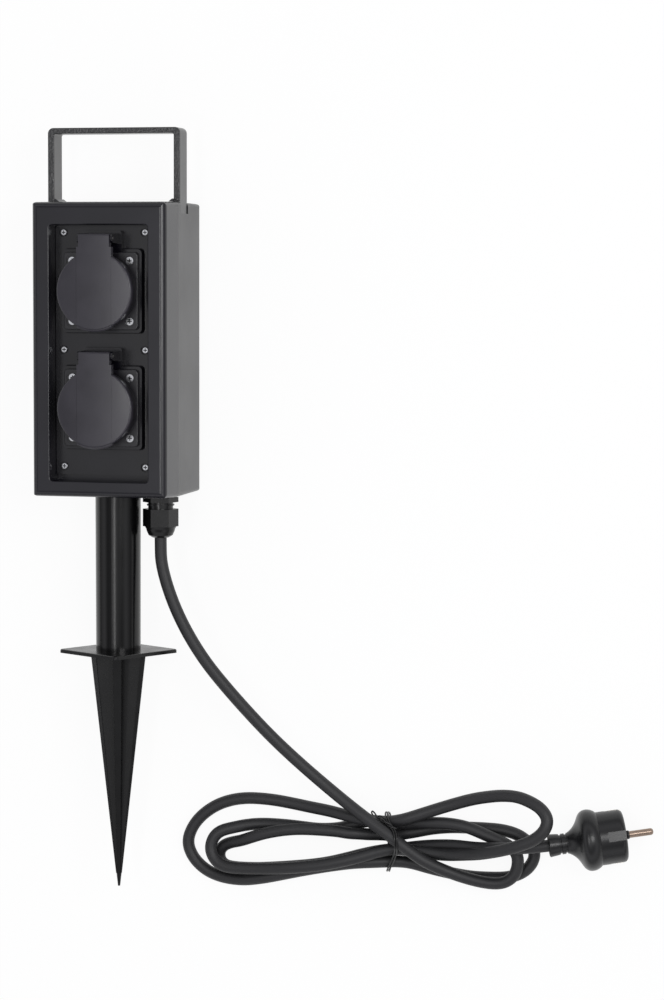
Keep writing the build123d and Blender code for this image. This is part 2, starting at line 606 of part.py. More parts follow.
# Arms of the spike in section: a web with a thicker band along its edge
def spike_section(y, arm, web, edge, depth):
    quarter = [(web, web), (arm - depth, web), (arm - depth, edge), (arm, edge * 0.86),
               (arm, -edge * 0.86), (arm - depth, -edge), (arm - depth, -web)]
    points = []
    for k in range(4):
        c, s = math.cos(math.radians(90 * k)), math.sin(math.radians(90 * k))
        turned_points = [(a * c - b * s, a * s + b * c) for a, b in reversed(quarter)]
        points += turned_points
    face = make_face(Polyline(*points, close=True))
    return Plane(origin=(0, y, 0), x_dir=(1, 0, 0), z_dir=(0, 1, 0)) * face


def make_ground_spike():
    plate = Plane(origin=(0, 0, 0), x_dir=(1, 0, 0), z_dir=(0, 1, 0)) * extrude(
        Rot(0, 0, 45) * RectangleRounded(GROUND_W, GROUND_W, 3.0), GROUND_T)
    plate = fillet([e for e in plate.edges() if abs(e.center().Y - GROUND_T) < 0.01], 1.1)
    low_y = -160.0
    left = (low_y - SPIKE_TIP_Y) / -SPIKE_TIP_Y
    arm_low = 1.0 + (SPIKE_ARM - 1.0) * left
    top = spike_section(0.5, SPIKE_ARM, SPIKE_WEB, SPIKE_EDGE, SPIKE_EDGE_DEPTH)
    low = spike_section(low_y, arm_low, 0.8, 1.2, 0.6)
    blades = loft([top, low], ruled=True)
    tip = turned([(0, 0), (1.9, 0), (0.8, low_y - SPIKE_TIP_Y), (0, low_y - SPIKE_TIP_Y)],
                 (0, low_y + 0.3, 0), (0, -1, 0))
    spigot_r = TUBE_R_LOW - TUBE_WALL - FIT
    spigot = turned([(spigot_r - 2.4, GROUND_T - 0.5), (spigot_r, GROUND_T - 0.5), (spigot_r, 26),
                     (spigot_r - 0.8, 27.5), (spigot_r - 2.4, 27.5)], (0, 0, 0), (0, 1, 0))
    return Rot(0, GROUND_TURN, 0) * (plate + blades + tip + spigot)


GROMMET_R = 7.15
GROMMET_Y = GLAND_EXIT_Y + 5.3
GROMMET_END_Y = GLAND_NUT_Y + 2.1
NUT_Y = BOX_BOTTOM - PARTING_GROWTH + WALL + 0.4


def make_gland_body():
    seat = GLAND_PAD_Y - GLAND_SEAL_T
    neck_end = GLAND_HEX_END_Y + 2.7
    body = hexagon(GLAND_AF, (GLAND_X, GLAND_BODY_Y, 0), seat - GLAND_BODY_Y, GLAND_TURN)
    body += rod(GLAND_NECK_R, (GLAND_X, neck_end, 0), (GLAND_X, GLAND_BODY_Y + 1, 0))
    body += rod(GLAND_RING_R, (GLAND_X, GLAND_RING_Y, 0), (GLAND_X, GLAND_RING_Y + 1.0, 0))
    body += rod(THREAD_R, (GLAND_X, seat - 1, 0), (GLAND_X, NUT_Y + 7.1, 0))
    body -= rod(CORD_R + 0.4, (GLAND_X, neck_end - 4, 0), (GLAND_X, NUT_Y + 12, 0))
    body -= rod(GROMMET_R + FIT, (GLAND_X, neck_end - 4, 0), (GLAND_X, GROMMET_END_Y + 0.5, 0))
    return body


def make_gland_dome_nut():
    body = hexagon(GLAND_AF, (GLAND_X, GLAND_HEX_END_Y, 0), GLAND_NUT_Y - GLAND_HEX_END_Y, GLAND_TURN)
    rise = GLAND_HEX_END_Y - GLAND_EXIT_Y + 0.05
    points = [(0, 0), (GLAND_EXIT_R, 0), (GLAND_EXIT_R + 2.6, 1.6), (GLAND_DOME_R - 0.6, 4.2),
              (GLAND_DOME_R, GLAND_DOME_Y - GLAND_EXIT_Y), (GLAND_DOME_R + 0.9, rise), (0, rise)]
    body += turned(points, (GLAND_X, GLAND_EXIT_Y, 0), (0, 1, 0))
    past = GLAND_NUT_Y + 6
    body -= rod(CORD_R + 0.3, (GLAND_X, GLAND_EXIT_Y - 4, 0), (GLAND_X, past, 0))
    body -= rod(GLAND_NECK_R + 0.1, (GLAND_X, GLAND_HEX_END_Y + 1.7, 0), (GLAND_X, past, 0))
    body -= rod(GROMMET_R + 0.35, (GLAND_X, GROMMET_Y - 0.2, 0), (GLAND_X, past, 0))
    return body


def make_gland_grommet():
    length = GROMMET_END_Y - GROMMET_Y
    points = [(CORD_R, 0), (GROMMET_R - 0.55, 0), (GROMMET_R, 2.3), (GROMMET_R, length - 1.0),
              (GROMMET_R - 0.75, length), (CORD_R, length)]
    return turned(points, (GLAND_X, GROMMET_Y, 0), (0, 1, 0))


def make_gland_seal():
    y1 = GLAND_PAD_Y
    points = [(THREAD_R + 0.1, y1 - GLAND_SEAL_T), (10.6, y1 - GLAND_SEAL_T), (10.6, y1), (THREAD_R + 0.1, y1)]
    return turned(points, (GLAND_X, 0, 0), (0, 1, 0))


def make_gland_locknut():
    nut = hexagon(21.0, (GLAND_X, NUT_Y, 0), 4.0, 30)
    return nut - rod(THREAD_R + FIT, (GLAND_X, NUT_Y - 5, 0), (GLAND_X, NUT_Y + 9, 0))


# Free cord: straight runs joined by tangent arcs, each as wide as its shorter run allows
def cord_tube(points, radius, name, least):
    radii = []
    for before, here, after in zip(points, points[1:], points[2:]):
        u, v = Vector(*here) - Vector(*before), Vector(*after) - Vector(*here)
        turn = math.radians(u.get_angle(v))
        radii.append(0.45 * min(u.length, v.length) / math.tan(max(turn, 0.01) / 2))
    path = FilletPolyline(*points, radius=radii)
    section = Plane(origin=path @ 0, z_dir=path % 0) * Circle(radius)
    tube = sweep(section, path=path)
    right = math.pi * radius ** 2 * path.length
    print(name, "radii", [round(r) for r in radii], "volume share", round(tube.volume / right, 4))
    assert min(radii) >= least
    return tube


# The hank, in its own terms: u along it from the tie, v across it, h over the table
WAIST_X = 195.0
WAIST_Y = -130.5
STRAND = 2 * CORD_R + 0.4
LAY = CORD_R + 0.05
DECK = 13.8
TIE_LIFT = 1.3
TIE_REACH = 14.0


def world(u, v, h):
    lift = TIE_LIFT * math.exp(-(u / TIE_REACH) ** 2)
    return (WAIST_X + u, WAIST_Y + v, TABLE_Z + h + lift)


# Bend of a loop: n points on a circle between two angles while the height changes evenly
def bend(u, v, radius, angle0, angle1, n, h0, h1):
    points = []
    for i in range(n):
        share = i / (n - 1)
        angle = math.radians(angle0 + (angle1 - angle0) * share)
        points.append((u + radius * math.cos(angle), v + radius * math.sin(angle), h0 + (h1 - h0) * share))
    return points


def part_way(start, end, length):
    share = length / math.dist(start, end)
    return tuple(a + (b - a) * share for a, b in zip(start, end))


HANK_START = (-40.0, 26.4, 20.6)
HANK_SECOND = (-20.0, 13.0, 22.4)
HANK_END = (46.0, 0.0, 10.2)
HANK_LAST = (30.0, -2.0, 5.0)
STRAIGHT = 2 * CORD_R + 0.3


def hank_points():
    low = LAY
    right_1 = bend(74, -8.5, 21, -92, 90, 6, DECK, DECK)
    left_2 = bend(-119.5, -7, 18.5, 92, 262, 6, 12.0, DECK + 0.4)
    right_2 = bend(96, 18.5, 19.3, -60, 88, 5, 41.5, 31)
    left_1 = bend(-124, -8, 30, 97, 264, 7, low, low)
    right_3 = bend(85.5, -9.3, 21, -93, 92, 6, low, low)
    left_3 = bend(-118, -14.8, 12.4, 94, 264, 5, 5.4, low)
    points = [HANK_START, part_way(HANK_START, HANK_SECOND, STRAIGHT), HANK_SECOND,
              (0, 0.5, 22.7), (18, -8.5, 22.4), (40, -19.2, 18.5)]
    points += right_1
    points += [(56, 14.6, DECK), (36, 14.8, DECK), (16, 11.0, 13.0), (0, 9.4, 12.6), (-17, 9.7, 11.6),
               (-32, 11.6, 7.8), (-48, 12.6, 4.6), (-75, 13.2, low), (-99, 13.0, 7.6)]
    points += left_2
    points += [(-98, -24.5, DECK), (-75, -20.5, DECK), (-52, -14.6, DECK), (-30, -7.8, 13.7),
               (-12, -2.0, 13.4), (0, -0.6, 13.2), (14, -3.0, DECK), (27, -6.4, 14.2),
               (42, -8.8, 15.6), (66, -8.5, 26), (88, -2.5, 38.3)]
    points += right_2
    points += [(78, 36.8, 18.5), (60, 33, 9), (42, 26.8, low), (20, 16.6, low), (0, 14.35, low),
               (-18, 16.6, low), (-34, 21.6, low), (-55, 24.6, low), (-88, 25.4, low)]
    points += left_1
    points += [(-100, -36.6, low), (-75, -31.8, low), (-45, -23.8, low), (-20, -17.0, low),
               (0, -14.2, low), (20, -16.2, low), (48, -24.5, low)]
    points += right_3
    points += [(62, 12.4, low), (40, 9.4, low), (18, 5.9, low), (0, 4.8, low), (-16, 3.3, 4.6),
               (-30, 1.2, 7.0), (-48, 2.0, 12.0), (-66, 4.2, 13.7), (-84, 2.8, 13.2), (-101, -0.3, 10.5)]
    points += left_3
    points += [(-104, -26.4, low), (-80, -21.8, low), (-52, -14.6, low), (-26, -8.0, low),
               (0, -4.7, low), (18, -3.6, low), HANK_LAST, part_way(HANK_END, HANK_LAST, STRAIGHT), HANK_END]
    return [Vector(*world(*p)) for p in points]


def hank_arcs():
    points = hank_points()
    tangents = [(points[1] - points[0]).normalized()]
    for a, b, c in zip(points, points[1:], points[2:]):
        near, far = (b - a).length, (c - b).length
        tangents.append(((b - a).normalized() * far + (c - b).normalized() * near).normalized())
    tangents[1] = tangents[0]
    tangents.append((points[-1] - points[-2]).normalized())
    tangents[-2] = tangents[-1]
    arcs = []
    for p0, p1, t0, t1 in zip(points, points[1:], tangents, tangents[1:]):
        v, both = p1 - p0, t0 + t1
        k = 2 * (1 - t0.dot(t1))
        if k < 1e-9:
            d = v.dot(v) / (4 * v.dot(t1))
        else:
            d = (-v.dot(both) + math.sqrt(v.dot(both) ** 2 + k * v.dot(v))) / k
        middle = (p0 + p1 + (t0 - t1) * d) / 2
        t_middle = ((p1 - t1 * d) - (p0 + t0 * d)).normalized()
        arcs.append((p0, middle, t0))
        arcs.append((middle, p1, t_middle))
    return arcs


def make_hank():
    edges, samples, run, tightest = [], [], 0.0, 1e9
    for start, end, tangent in hank_arcs():
        chord = end - start
        if chord.get_angle(tangent) < 0.002:
            edge = Line(start, end)
        else:
            edge = TangentArc(start, end, tangent=tangent)
            tightest = min(tightest, edge.radius)
        edges.append(edge)
        count = max(2, int(edge.length / 1.5))
        for i in range(count):
            samples.append((edge @ (i / count), run + edge.length * i / count))
        run += edge.length
    gap = min((a - b).length for i, (a, s) in enumerate(samples) for b, t in samples[i + 1:] if t - s > 30)
    print("hank length", round(run), "tightest", round(tightest, 1), "least gap", round(gap - 2 * CORD_R, 2))
    wire = Wire(edges)
    section = Plane(origin=wire @ 0, z_dir=wire % 0) * Circle(CORD_R)
    tube = sweep(section, path=wire)
    print("hank volume share", round(tube.volume / (math.pi * CORD_R ** 2 * wire.length), 4))
    return tube


DROP_BEND = (31.7, 64.0, 0.0)


def make_cord_drop():
    start = Vector(*world(*HANK_START))
    along = (Vector(*world(*part_way(HANK_START, HANK_SECOND, STRAIGHT))) - start).normalized()
    last = start - along * 26
    points = [(GLAND_X, GLAND_EXIT_Y, 0), DROP_BEND, (36.2, 45.0, -0.3), (42.5, 28.0, -2.0),
              (55.0, 5.5, -6.5), (70.5, -19.5, -12.0), (90.0, -47.2, -17.5), (111.5, -70.5, -21.0),
              tuple(last), tuple(start)]
    return cord_tube(points, CORD_R, "cord_drop", 42.5)


# The plug stands on one pin tip, its flange just over the table on the stiff cord
PLUG_MOUTH = (310.9, -126.8, -12.25)
PLUG_DOWN = 14.5
PLUG_TURN = 8.35
PLUG_ROLL = 10.1
PLUG_AXIS = (math.cos(math.radians(PLUG_DOWN)) * math.cos(math.radians(PLUG_TURN)),
             math.cos(math.radians(PLUG_DOWN)) * math.sin(math.radians(PLUG_TURN)),
             -math.sin(math.radians(PLUG_DOWN)))
CORD_SEAT = 14.0
PLUG_FACE = 53.8
PLUG_FACE_R = 18.65
PLUG_FLANGE_R = 21.5
PLUG_NECK_R = 7.25
PIN_LENGTH = 19.0
PIN_ROOT = PLUG_FACE - 10.0
PIN_ROOT_R = 2.0
STRIP_T = 0.8
STRIP_HALF_W = 3.0


# Local X of the plug runs through both pins
def plug_plane():
    upright = (math.sin(math.radians(PLUG_DOWN)) * math.cos(math.radians(PLUG_TURN)),
               math.sin(math.radians(PLUG_DOWN)) * math.sin(math.radians(PLUG_TURN)),
               math.cos(math.radians(PLUG_DOWN)))
    return Plane(origin=PLUG_MOUTH, x_dir=upright, z_dir=PLUG_AXIS) * Rot(0, 0, -PLUG_ROLL)


def make_cord_tail():
    mouth, axis = Vector(*PLUG_MOUTH), Vector(*PLUG_AXIS)
    end = mouth + axis * CORD_SEAT
    start = Vector(*world(*HANK_END))
    along = (start - Vector(*world(*part_way(HANK_END, HANK_LAST, STRAIGHT)))).normalized()
    points = [tuple(start), tuple(start + along * 17), (277.0, -128.2, -14.0),
              tuple(end - axis * 25.5), tuple(end)]
    return cord_tube(points, CORD_R, "cord_tail", 42.5)


def make_plug_body():
    neck, face, flange = PLUG_NECK_R, PLUG_FACE_R, PLUG_FLANGE_R
    outline = Polyline((0, CORD_SEAT), (CORD_R + 0.3, CORD_SEAT), (5.0, 9.0), (5.9, 4.0), (7.1, 0.4),
                       (7.6, 0.0), (8.1, 0.5))
    outline += Spline((8.1, 0.5), (7.8, 3.0), (7.5, 5.8), (neck, 7.4))
    outline += Polyline((neck, 7.4), (neck - 0.8, 7.6), (neck - 0.8, 8.8), (neck, 9.0), (neck, 11.4),
                        (neck - 0.8, 11.6), (neck - 0.8, 12.6), (neck, 12.8), (neck, 13.2))
    outline += Spline((neck, 13.2), (9.2, 16.4), (12.1, 19.2), (15.4, 21.2), (18.5, 22.9), (20.7, 25.3),
                      (flange, 28.8), (20.7, 32.4), (19.4, 34.6))
    corner = 3.6
    bow = corner * (1 - math.cos(math.radians(45)))
    outline += Polyline((19.4, 34.6), (face, 35.3), (face, PLUG_FACE - corner))
    outline += ThreePointArc((face, PLUG_FACE - corner), (face - bow, PLUG_FACE - bow), (face - corner, PLUG_FACE))
    outline += Polyline((face - corner, PLUG_FACE), (0, PLUG_FACE), (0, CORD_SEAT))
    body = revolve(Plane.XZ * make_face(outline), Axis.Z, 360)
    for out in (-1, 1):
        x0, x1 = sorted((out * (face - 2.4), out * (face + 3)))
        body -= block(x0, x1, -3.5, 3.5, PLUG_FACE - 13.0, PLUG_FACE + 1)
        y0, y1 = sorted((out * (face - 0.6 - STRIP_T - FIT), out * (face + 3)))
        body -= block(-STRIP_HALF_W - FIT, STRIP_HALF_W + FIT, y0, y1, PLUG_FACE - 12.5, PLUG_FACE + 1)
        x = out * PIN_PITCH / 2
        body -= rod(PIN_ROOT_R + FIT, (x, 0, PIN_ROOT), (x, 0, PLUG_FACE + 1))
    return plug_plane() * body


def make_plug_pins():
    pins = []
    for out in (-1, 1):
        tip = PLUG_FACE + PIN_LENGTH
        points = [(0, PIN_ROOT), (PIN_ROOT_R, PIN_ROOT), (PIN_ROOT_R, PLUG_FACE + 0.4), (PIN_R, PLUG_FACE + 0.4),
                  (PIN_R, tip - 1.6), (PIN_R - 0.5, tip - 0.5), (PIN_R - 1.4, tip), (0, tip)]
        pins.append(plug_plane() * turned(points, (out * PIN_PITCH / 2, 0, 0), (0, 0, 1)))
    return pins


def make_plug_earth_strips():
    strips = []
    for out in (-1, 1):
        y0, y1 = sorted((out * (PLUG_FACE_R - 0.6 - STRIP_T), out * (PLUG_FACE_R - 0.6)))
        strip = block(-STRIP_HALF_W, STRIP_HALF_W, y0, y1, PLUG_FACE - 12.4, PLUG_FACE - 1.2)
        y0, y1 = sorted((out * (PLUG_FACE_R - 0.6 - STRIP_T), out * (PLUG_FACE_R - 0.1)))
        strip += block(-1.6, 1.6, y0, y1, PLUG_FACE - 9.5, PLUG_FACE - 3.5)
        strips.append(plug_plane() * strip)
    return strips


# Tie: one flat band drawn round the strands, its two ends twisted together beside them
TIE_U = 0.5
TIE_T = 0.8
TIE_GAP = 0.3


def make_bundle_tie():
    strands = [(-14.4, LAY), (14.5, LAY), (9.6, 12.6), (1.2, 22.7), (-0.9, 22.7), (-0.6, 13.2)]
    spots = [world(TIE_U, v, h) for v, h in strands]
    outlines = []
    for grow in (TIE_GAP + TIE_T, TIE_GAP):
        circles = Sketch()
        for spot in spots:
            circles += Pos(spot[1], spot[2]) * Circle(CORD_R + grow)
        outlines.append(make_hull(circles.edges()))
    x = WAIST_X + TIE_U
    band = Plane.YZ * (outlines[0] - outlines[1])
    tie = Pos(x, 0, 0) * extrude(band, 1.3, both=True)
    root = Vector(*world(TIE_U, 18.6, 9.0))
    tip = Vector(*world(-9.5, 31.0, 13.5))
    tie += rod(0.75, tuple(root), tuple(tip))
    return tie


LEAD_R = 1.3
SHEATH_END_Y = BOX_BOTTOM + 31.1
SLEEVE_BACK_Z = 6.2
LUG_BACK_Z = CLIP_BACK_Z - 3.4


def make_cord_entry():
    return rod(CORD_R, (GLAND_X, GLAND_EXIT_Y, 0), (GLAND_X, SHEATH_END_Y, 0))


# Each lead runs from the sheath to the lower socket and on from there to the upper one
def make_lead(start, corners, x, depth, back_z, half_pitch):
    y0, y1 = SOCKET_Y["lower"], SOCKET_Y["upper"]
    first = [start] + corners + [(x, y0 - half_pitch, depth), (x, y0 - half_pitch, back_z)]
    second = [(x, y0 + half_pitch, back_z), (x, y0 + half_pitch, depth),
              (x, y1 - half_pitch, depth), (x, y1 - half_pitch, back_z)]
    tubes = []
    for points in (first, second):
        path = FilletPolyline(*points, radius=3.0)
        section = Plane(origin=path @ 0, z_dir=path % 0) * Circle(LEAD_R)
        tubes.append(sweep(section, path=path))
    return tubes


def make_leads():
    y = SHEATH_END_Y
    half = PIN_PITCH / 2
    return {
        "lead_line": make_lead((30.0, y, 1.0), [(30.0, y + 10, 1.0), (half, y + 20, -9)], half, -9, SLEEVE_BACK_Z, 1.6),
        "lead_neutral": make_lead((33.4, y, 1.0), [(33.4, y + 7, 0), (24, y + 15, -16), (-half, y + 22, -16)],
                                  -half, -16, SLEEVE_BACK_Z, 1.6),
        "lead_earth": make_lead((31.7, y, -2.3), [(31.7, y + 5.5, -3.5), (22, y + 11, -24), (0, y + 20, -24)],
                                0, -24, LUG_BACK_Z, 1.6),
    }


def main():
    save(make_front_shell(), "front_shell")
    save(make_rear_shell(), "rear_shell")
    seal = ring_in_rim(GROOVE_W - 0.1, PARTING_Z - GROOVE_DEPTH, PARTING_Z)
    save(seal - rod(TUBE_R_TOP + 0.9, (0, 100, 0), (0, 125, 0)), "shell_seal")
    save(make_handle(), "carry_handle")
    inner_x = HANDLE_HALF_W - HANDLE_T
    save([screw(HANDLE_HEAD_R, 1.8, HANDLE_SCREW_R, (s * (inner_x - 3.0), HANDLE_SCREW_Y, 0),
                (s * (inner_x + TONGUE_T), HANDLE_SCREW_Y, 0)) for s in (-1, 1)], "handle_screws")
    save(make_plate(), "mounting_plate")
    save(make_plate_seal(), "plate_seal")
    head_z = PLATE_Z - 1.4
    save([screw(PLATE_HEAD_R, PLATE_HEAD_T, PLATE_SCREW_R, (x, y, head_z), (x, y, 9.5))
          for x, y in SCREW_SPOTS], "plate_screws")
    for side, y in SOCKET_Y.items():
        save(make_socket_body(y), f"{side}_socket_body")
        save(make_gasket(y), f"{side}_socket_gasket")
        save(make_socket_screws(y), f"{side}_socket_screws")
        save(make_contact_insert(y), f"{side}_contact_insert")
        save(make_earth_clip(y), f"{side}_earth_clip")
        save(make_contact_sleeves(y), f"{side}_contact_sleeves")
        save(make_lid(y), f"{side}_lid")
        save(make_lid_seal(y), f"{side}_lid_seal")
        save(make_hinge_pin(y), f"{side}_hinge_pin")
        save(make_lid_spring(y), f"{side}_lid_spring")
    save(make_post_tube(), "post_tube")
    save(screw(POST_HEAD_R, 2.2, POST_SCREW_R - 0.4, (0, POST_SCREW_Y, POST_HEAD_Z),
               (0, POST_SCREW_Y, -10.5)), "post_screw")
    save(make_ground_spike(), "ground_spike")
    save(make_gland_body(), "gland_body")
    save(make_gland_dome_nut(), "gland_dome_nut")
    save(make_gland_grommet(), "gland_grommet")
    save(make_gland_seal(), "gland_seal_ring")
    save(make_gland_locknut(), "gland_locknut")
    save(make_cord_entry(), "cord_entry")
    for name, tubes in make_leads().items():
        save(tubes, name)
    save(make_cord_drop(), "cord_drop")
    save(make_hank(), "cord_hank")
    save(make_cord_tail(), "cord_tail")
    save(make_bundle_tie(), "bundle_tie")
    save(make_plug_body(), "plug_body")
    save(make_plug_pins(), "plug_pins")
    save(make_plug_earth_strips(), "plug_earth_strips")


main()
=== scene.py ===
import math

import bmesh
import bpy
from mathutils import Matrix, Vector


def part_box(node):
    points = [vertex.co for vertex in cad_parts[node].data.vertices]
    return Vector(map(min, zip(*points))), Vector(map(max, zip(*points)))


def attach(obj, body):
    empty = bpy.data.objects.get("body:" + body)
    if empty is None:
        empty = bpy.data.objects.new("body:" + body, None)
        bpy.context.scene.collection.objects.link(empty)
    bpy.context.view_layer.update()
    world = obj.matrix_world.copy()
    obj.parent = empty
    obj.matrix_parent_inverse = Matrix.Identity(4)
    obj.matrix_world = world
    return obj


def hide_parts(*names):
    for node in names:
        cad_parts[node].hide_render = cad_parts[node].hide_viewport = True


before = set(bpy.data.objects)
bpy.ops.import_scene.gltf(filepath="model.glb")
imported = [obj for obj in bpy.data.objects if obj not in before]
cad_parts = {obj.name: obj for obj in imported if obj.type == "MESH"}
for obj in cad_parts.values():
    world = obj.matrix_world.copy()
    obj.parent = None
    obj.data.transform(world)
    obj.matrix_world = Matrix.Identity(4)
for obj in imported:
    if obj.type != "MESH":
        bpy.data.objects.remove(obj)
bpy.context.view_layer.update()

# Studio: a white laminate table in a dim room, under two softboxes. The post lies on its back and is
# seen almost from straight above, by the camera that fits its box, square flanges and round lids.
camera_data = bpy.data.cameras.new("camera")
camera_data.lens = 101.52
camera_data.sensor_width = 36.0
camera_data.clip_end = 20.0
camera = bpy.data.objects.new("camera", camera_data)
bpy.context.scene.collection.objects.link(camera)
view_from = Vector((0.62217, 0.26896, 1.91443))
view_right = Vector((0.97167, 0.00353, -0.23631))
view_up = Vector((-0.02204, 0.99688, -0.07575))
view_forward = Vector((-0.23531, -0.07882, -0.96872))
aim = Matrix((view_right, view_up, -view_forward)).transposed().to_4x4()
camera.matrix_world = Matrix.Translation(view_from) @ aim
bpy.context.scene.camera = camera
bpy.context.scene.view_settings.view_transform = "Standard"


def srgb(code):
    channels = [int(code[i:i + 2], 16) / 255 for i in (1, 3, 5)]
    return [c / 12.92 if c <= 0.04045 else ((c + 0.055) / 1.055) ** 2.4 for c in channels] + [1.0]


def add_node(material, kind, settings=None, links=None):
    node = material.node_tree.nodes.new(kind)
    for name, value in (settings or {}).items():
        if isinstance(name, int) or name in node.inputs:
            node.inputs[name].default_value = value
        else:
            setattr(node, name, value)
    for name, source in (links or {}).items():
        material.node_tree.links.new(source, node.inputs[name])
    return node


TABLE_MM = -41.5  # height of the table in the part's frame
TABLE_HALF = 6.0
table_mesh = bmesh.new()
bmesh.ops.create_grid(table_mesh, x_segments=1, y_segments=1, size=TABLE_HALF)
bmesh.ops.translate(table_mesh, verts=table_mesh.verts, vec=(0.0, 0.0, TABLE_MM / 1000))
table_data = bpy.data.meshes.new("table")
table_mesh.to_mesh(table_data)
table_mesh.free()
table = bpy.data.objects.new("table", table_data)
bpy.context.scene.collection.objects.link(table)
# white laminate: paper white to the camera and in reflections, it still takes the soft shadow
GLOW_SHARE = 0.92
laminate = bpy.data.materials.new("white_laminate")
laminate.use_nodes = True
laminate.node_tree.nodes.clear()
laminate_out = add_node(laminate, "ShaderNodeOutputMaterial")
laminate_body = add_node(laminate, "ShaderNodeBsdfDiffuse", {"Color": srgb("#f8f8f8")})
laminate_glow = add_node(laminate, "ShaderNodeEmission", {"Color": srgb("#ffffff"), "Strength": 1.0})
laminate_path = add_node(laminate, "ShaderNodeLightPath")
laminate_rays = add_node(laminate, "ShaderNodeMath", {"operation": "MAXIMUM"},
                         {0: laminate_path.outputs["Is Camera Ray"],
                          1: laminate_path.outputs["Is Glossy Ray"]})
laminate_share = add_node(laminate, "ShaderNodeMath", {"operation": "MULTIPLY", 1: GLOW_SHARE},
                          {0: laminate_rays.outputs[0]})
laminate_mix = add_node(laminate, "ShaderNodeMixShader", None,
                        {"Fac": laminate_share.outputs[0], 1: laminate_body.outputs[0],
                         2: laminate_glow.outputs[0]})
laminate.node_tree.links.new(laminate_mix.outputs[0], laminate_out.inputs["Surface"])
table_data.materials.append(laminate)

world = bpy.data.worlds.new("studio_air")
bpy.context.scene.world = world
world.use_nodes = True
world.node_tree.nodes.clear()
world_out = add_node(world, "ShaderNodeOutputWorld")
world_place = add_node(world, "ShaderNodeTexCoord")
world_height = add_node(world, "ShaderNodeSeparateXYZ", None, {0: world_place.outputs["Generated"]})
# the room's light by height: dim below, a bright band all round a third of the way up, a dim gap,
# and a pale ceiling up to the ramp's own white end; its soft edges shade the flat and round faces
world_bands = add_node(world, "ShaderNodeValToRGB", None, {"Fac": world_height.outputs["Z"]})
band_stops = world_bands.color_ramp.elements
for height, level in ((0.0, 0.16), (0.55, 1.1), (0.80, 0.22), (0.93, 0.62), (0.985, 1.0)):
    stop = band_stops.new(height) if height else band_stops[0]
    stop.color = (level, level, level * 1.03, 1.0)
world_light = add_node(world, "ShaderNodeBackground", {"Strength": 1.0},
                       {"Color": world_bands.outputs["Color"]})
world_seen = add_node(world, "ShaderNodeBackground", {"Color": srgb("#ffffff"), "Strength": 1.0})
world_path = add_node(world, "ShaderNodeLightPath")
world_mix = add_node(world, "ShaderNodeMixShader", None,
                     {"Fac": world_path.outputs["Is Camera Ray"], 1: world_light.outputs[0],
                      2: world_seen.outputs[0]})
world.node_tree.links.new(world_mix.outputs[0], world_out.inputs["Surface"])


def softbox(name, place, target, width, height, power):
    data = bpy.data.lights.new(name, "AREA")
    data.shape = "RECTANGLE"
    data.size, data.size_y = width, height
    data.energy = power
    lamp = bpy.data.objects.new(name, data)
    lamp.location = place
    lamp.rotation_euler = (Vector(target) - Vector(place)).to_track_quat("-Z", "Y").to_euler()
    bpy.context.scene.collection.objects.link(lamp)


# a long strip straight above the box grades the lids and the flat fronts across their width
softbox("strip_softbox", place=(-0.03, 0.17, 1.85), target=(-0.03, 0.17, 0.0),
        width=0.18, height=0.9, power=4.2)
# a large one at the right lifts the flanks of the box, the handle and the cord
softbox("right_softbox", place=(1.2, 0.45, 1.6), target=(0.05, 0.2, 0.0),
        width=0.6, height=0.9, power=12.0)


# Free cord: matte black rubber sheath 8.7 mm thick over three cores, extruded and dusted with talc.
# It leaves the gland, falls to the table, is wound into a hank of six strands and ends in the plug.
CLOUDS_PER_M = 28.0  # one dusty cloud in about 36 mm


def rubber(name, base, rough, speck_mm, bump, gloss=0.5):
    material = bpy.data.materials.new(name)
    material.use_nodes = True
    shader = material.node_tree.nodes["Principled BSDF"]
    shader.inputs["Specular IOR Level"].default_value = gloss
    shader.inputs["IOR"].default_value = 1.5
    place = add_node(material, "ShaderNodeTexCoord")
    speck = add_node(material, "ShaderNodeTexNoise", {"Scale": 1000.0 / speck_mm, "Detail": 3.0},
                     {"Vector": place.outputs["Object"]})
    cloud = add_node(material, "ShaderNodeTexNoise", {"Scale": CLOUDS_PER_M, "Detail": 4.0},
                     {"Vector": place.outputs["Object"]})
    tone = add_node(material, "ShaderNodeMapRange",
                    {"From Min": 0.3, "From Max": 0.7, "To Min": 0.85, "To Max": 1.15},
                    {"Value": cloud.outputs["Fac"]})
    colour = add_node(material, "ShaderNodeMix", {"data_type": "RGBA", "blend_type": "MULTIPLY"})
    colour.inputs[0].default_value = 1.0
    colour.inputs[6].default_value = srgb(base)
    material.node_tree.links.new(tone.outputs[0], colour.inputs[7])
    material.node_tree.links.new(colour.outputs[2], shader.inputs["Base Color"])
    grain = add_node(material, "ShaderNodeBump", {"Strength": bump, "Distance": 0.0001},
                     {"Height": speck.outputs["Fac"]})
    material.node_tree.links.new(grain.outputs[0], shader.inputs["Normal"])
    sheen = add_node(material, "ShaderNodeMapRange", {"To Min": rough - 0.06, "To Max": rough + 0.06},
                     {"Value": cloud.outputs["Fac"]})
    material.node_tree.links.new(sheen.outputs[0], shader.inputs["Roughness"])
    return material


# extruded chloroprene: dull black with faint dusty clouds and one broad, soft sheen along the cord
cord_rubber = rubber("extruded_chloroprene", "#1d1d1f", rough=0.52, speck_mm=0.35, bump=0.25)
CORD_R = 4.35
WAIST = (195.0, -130.5)  # where the strands cross inside the tie
LAY = CORD_R + 0.05  # height of a strand that lies on the table
DECK = 13.8  # height of a strand that lies on another one
TIE_LIFT, TIE_REACH = 1.3, 14.0  # the wires under the waist lift all strands by this, this far out


def on_table(u, v, h):
    lift = TIE_LIFT * math.exp(-(u / TIE_REACH) ** 2)
    return (WAIST[0] + u, WAIST[1] + v, TABLE_MM + h + lift)


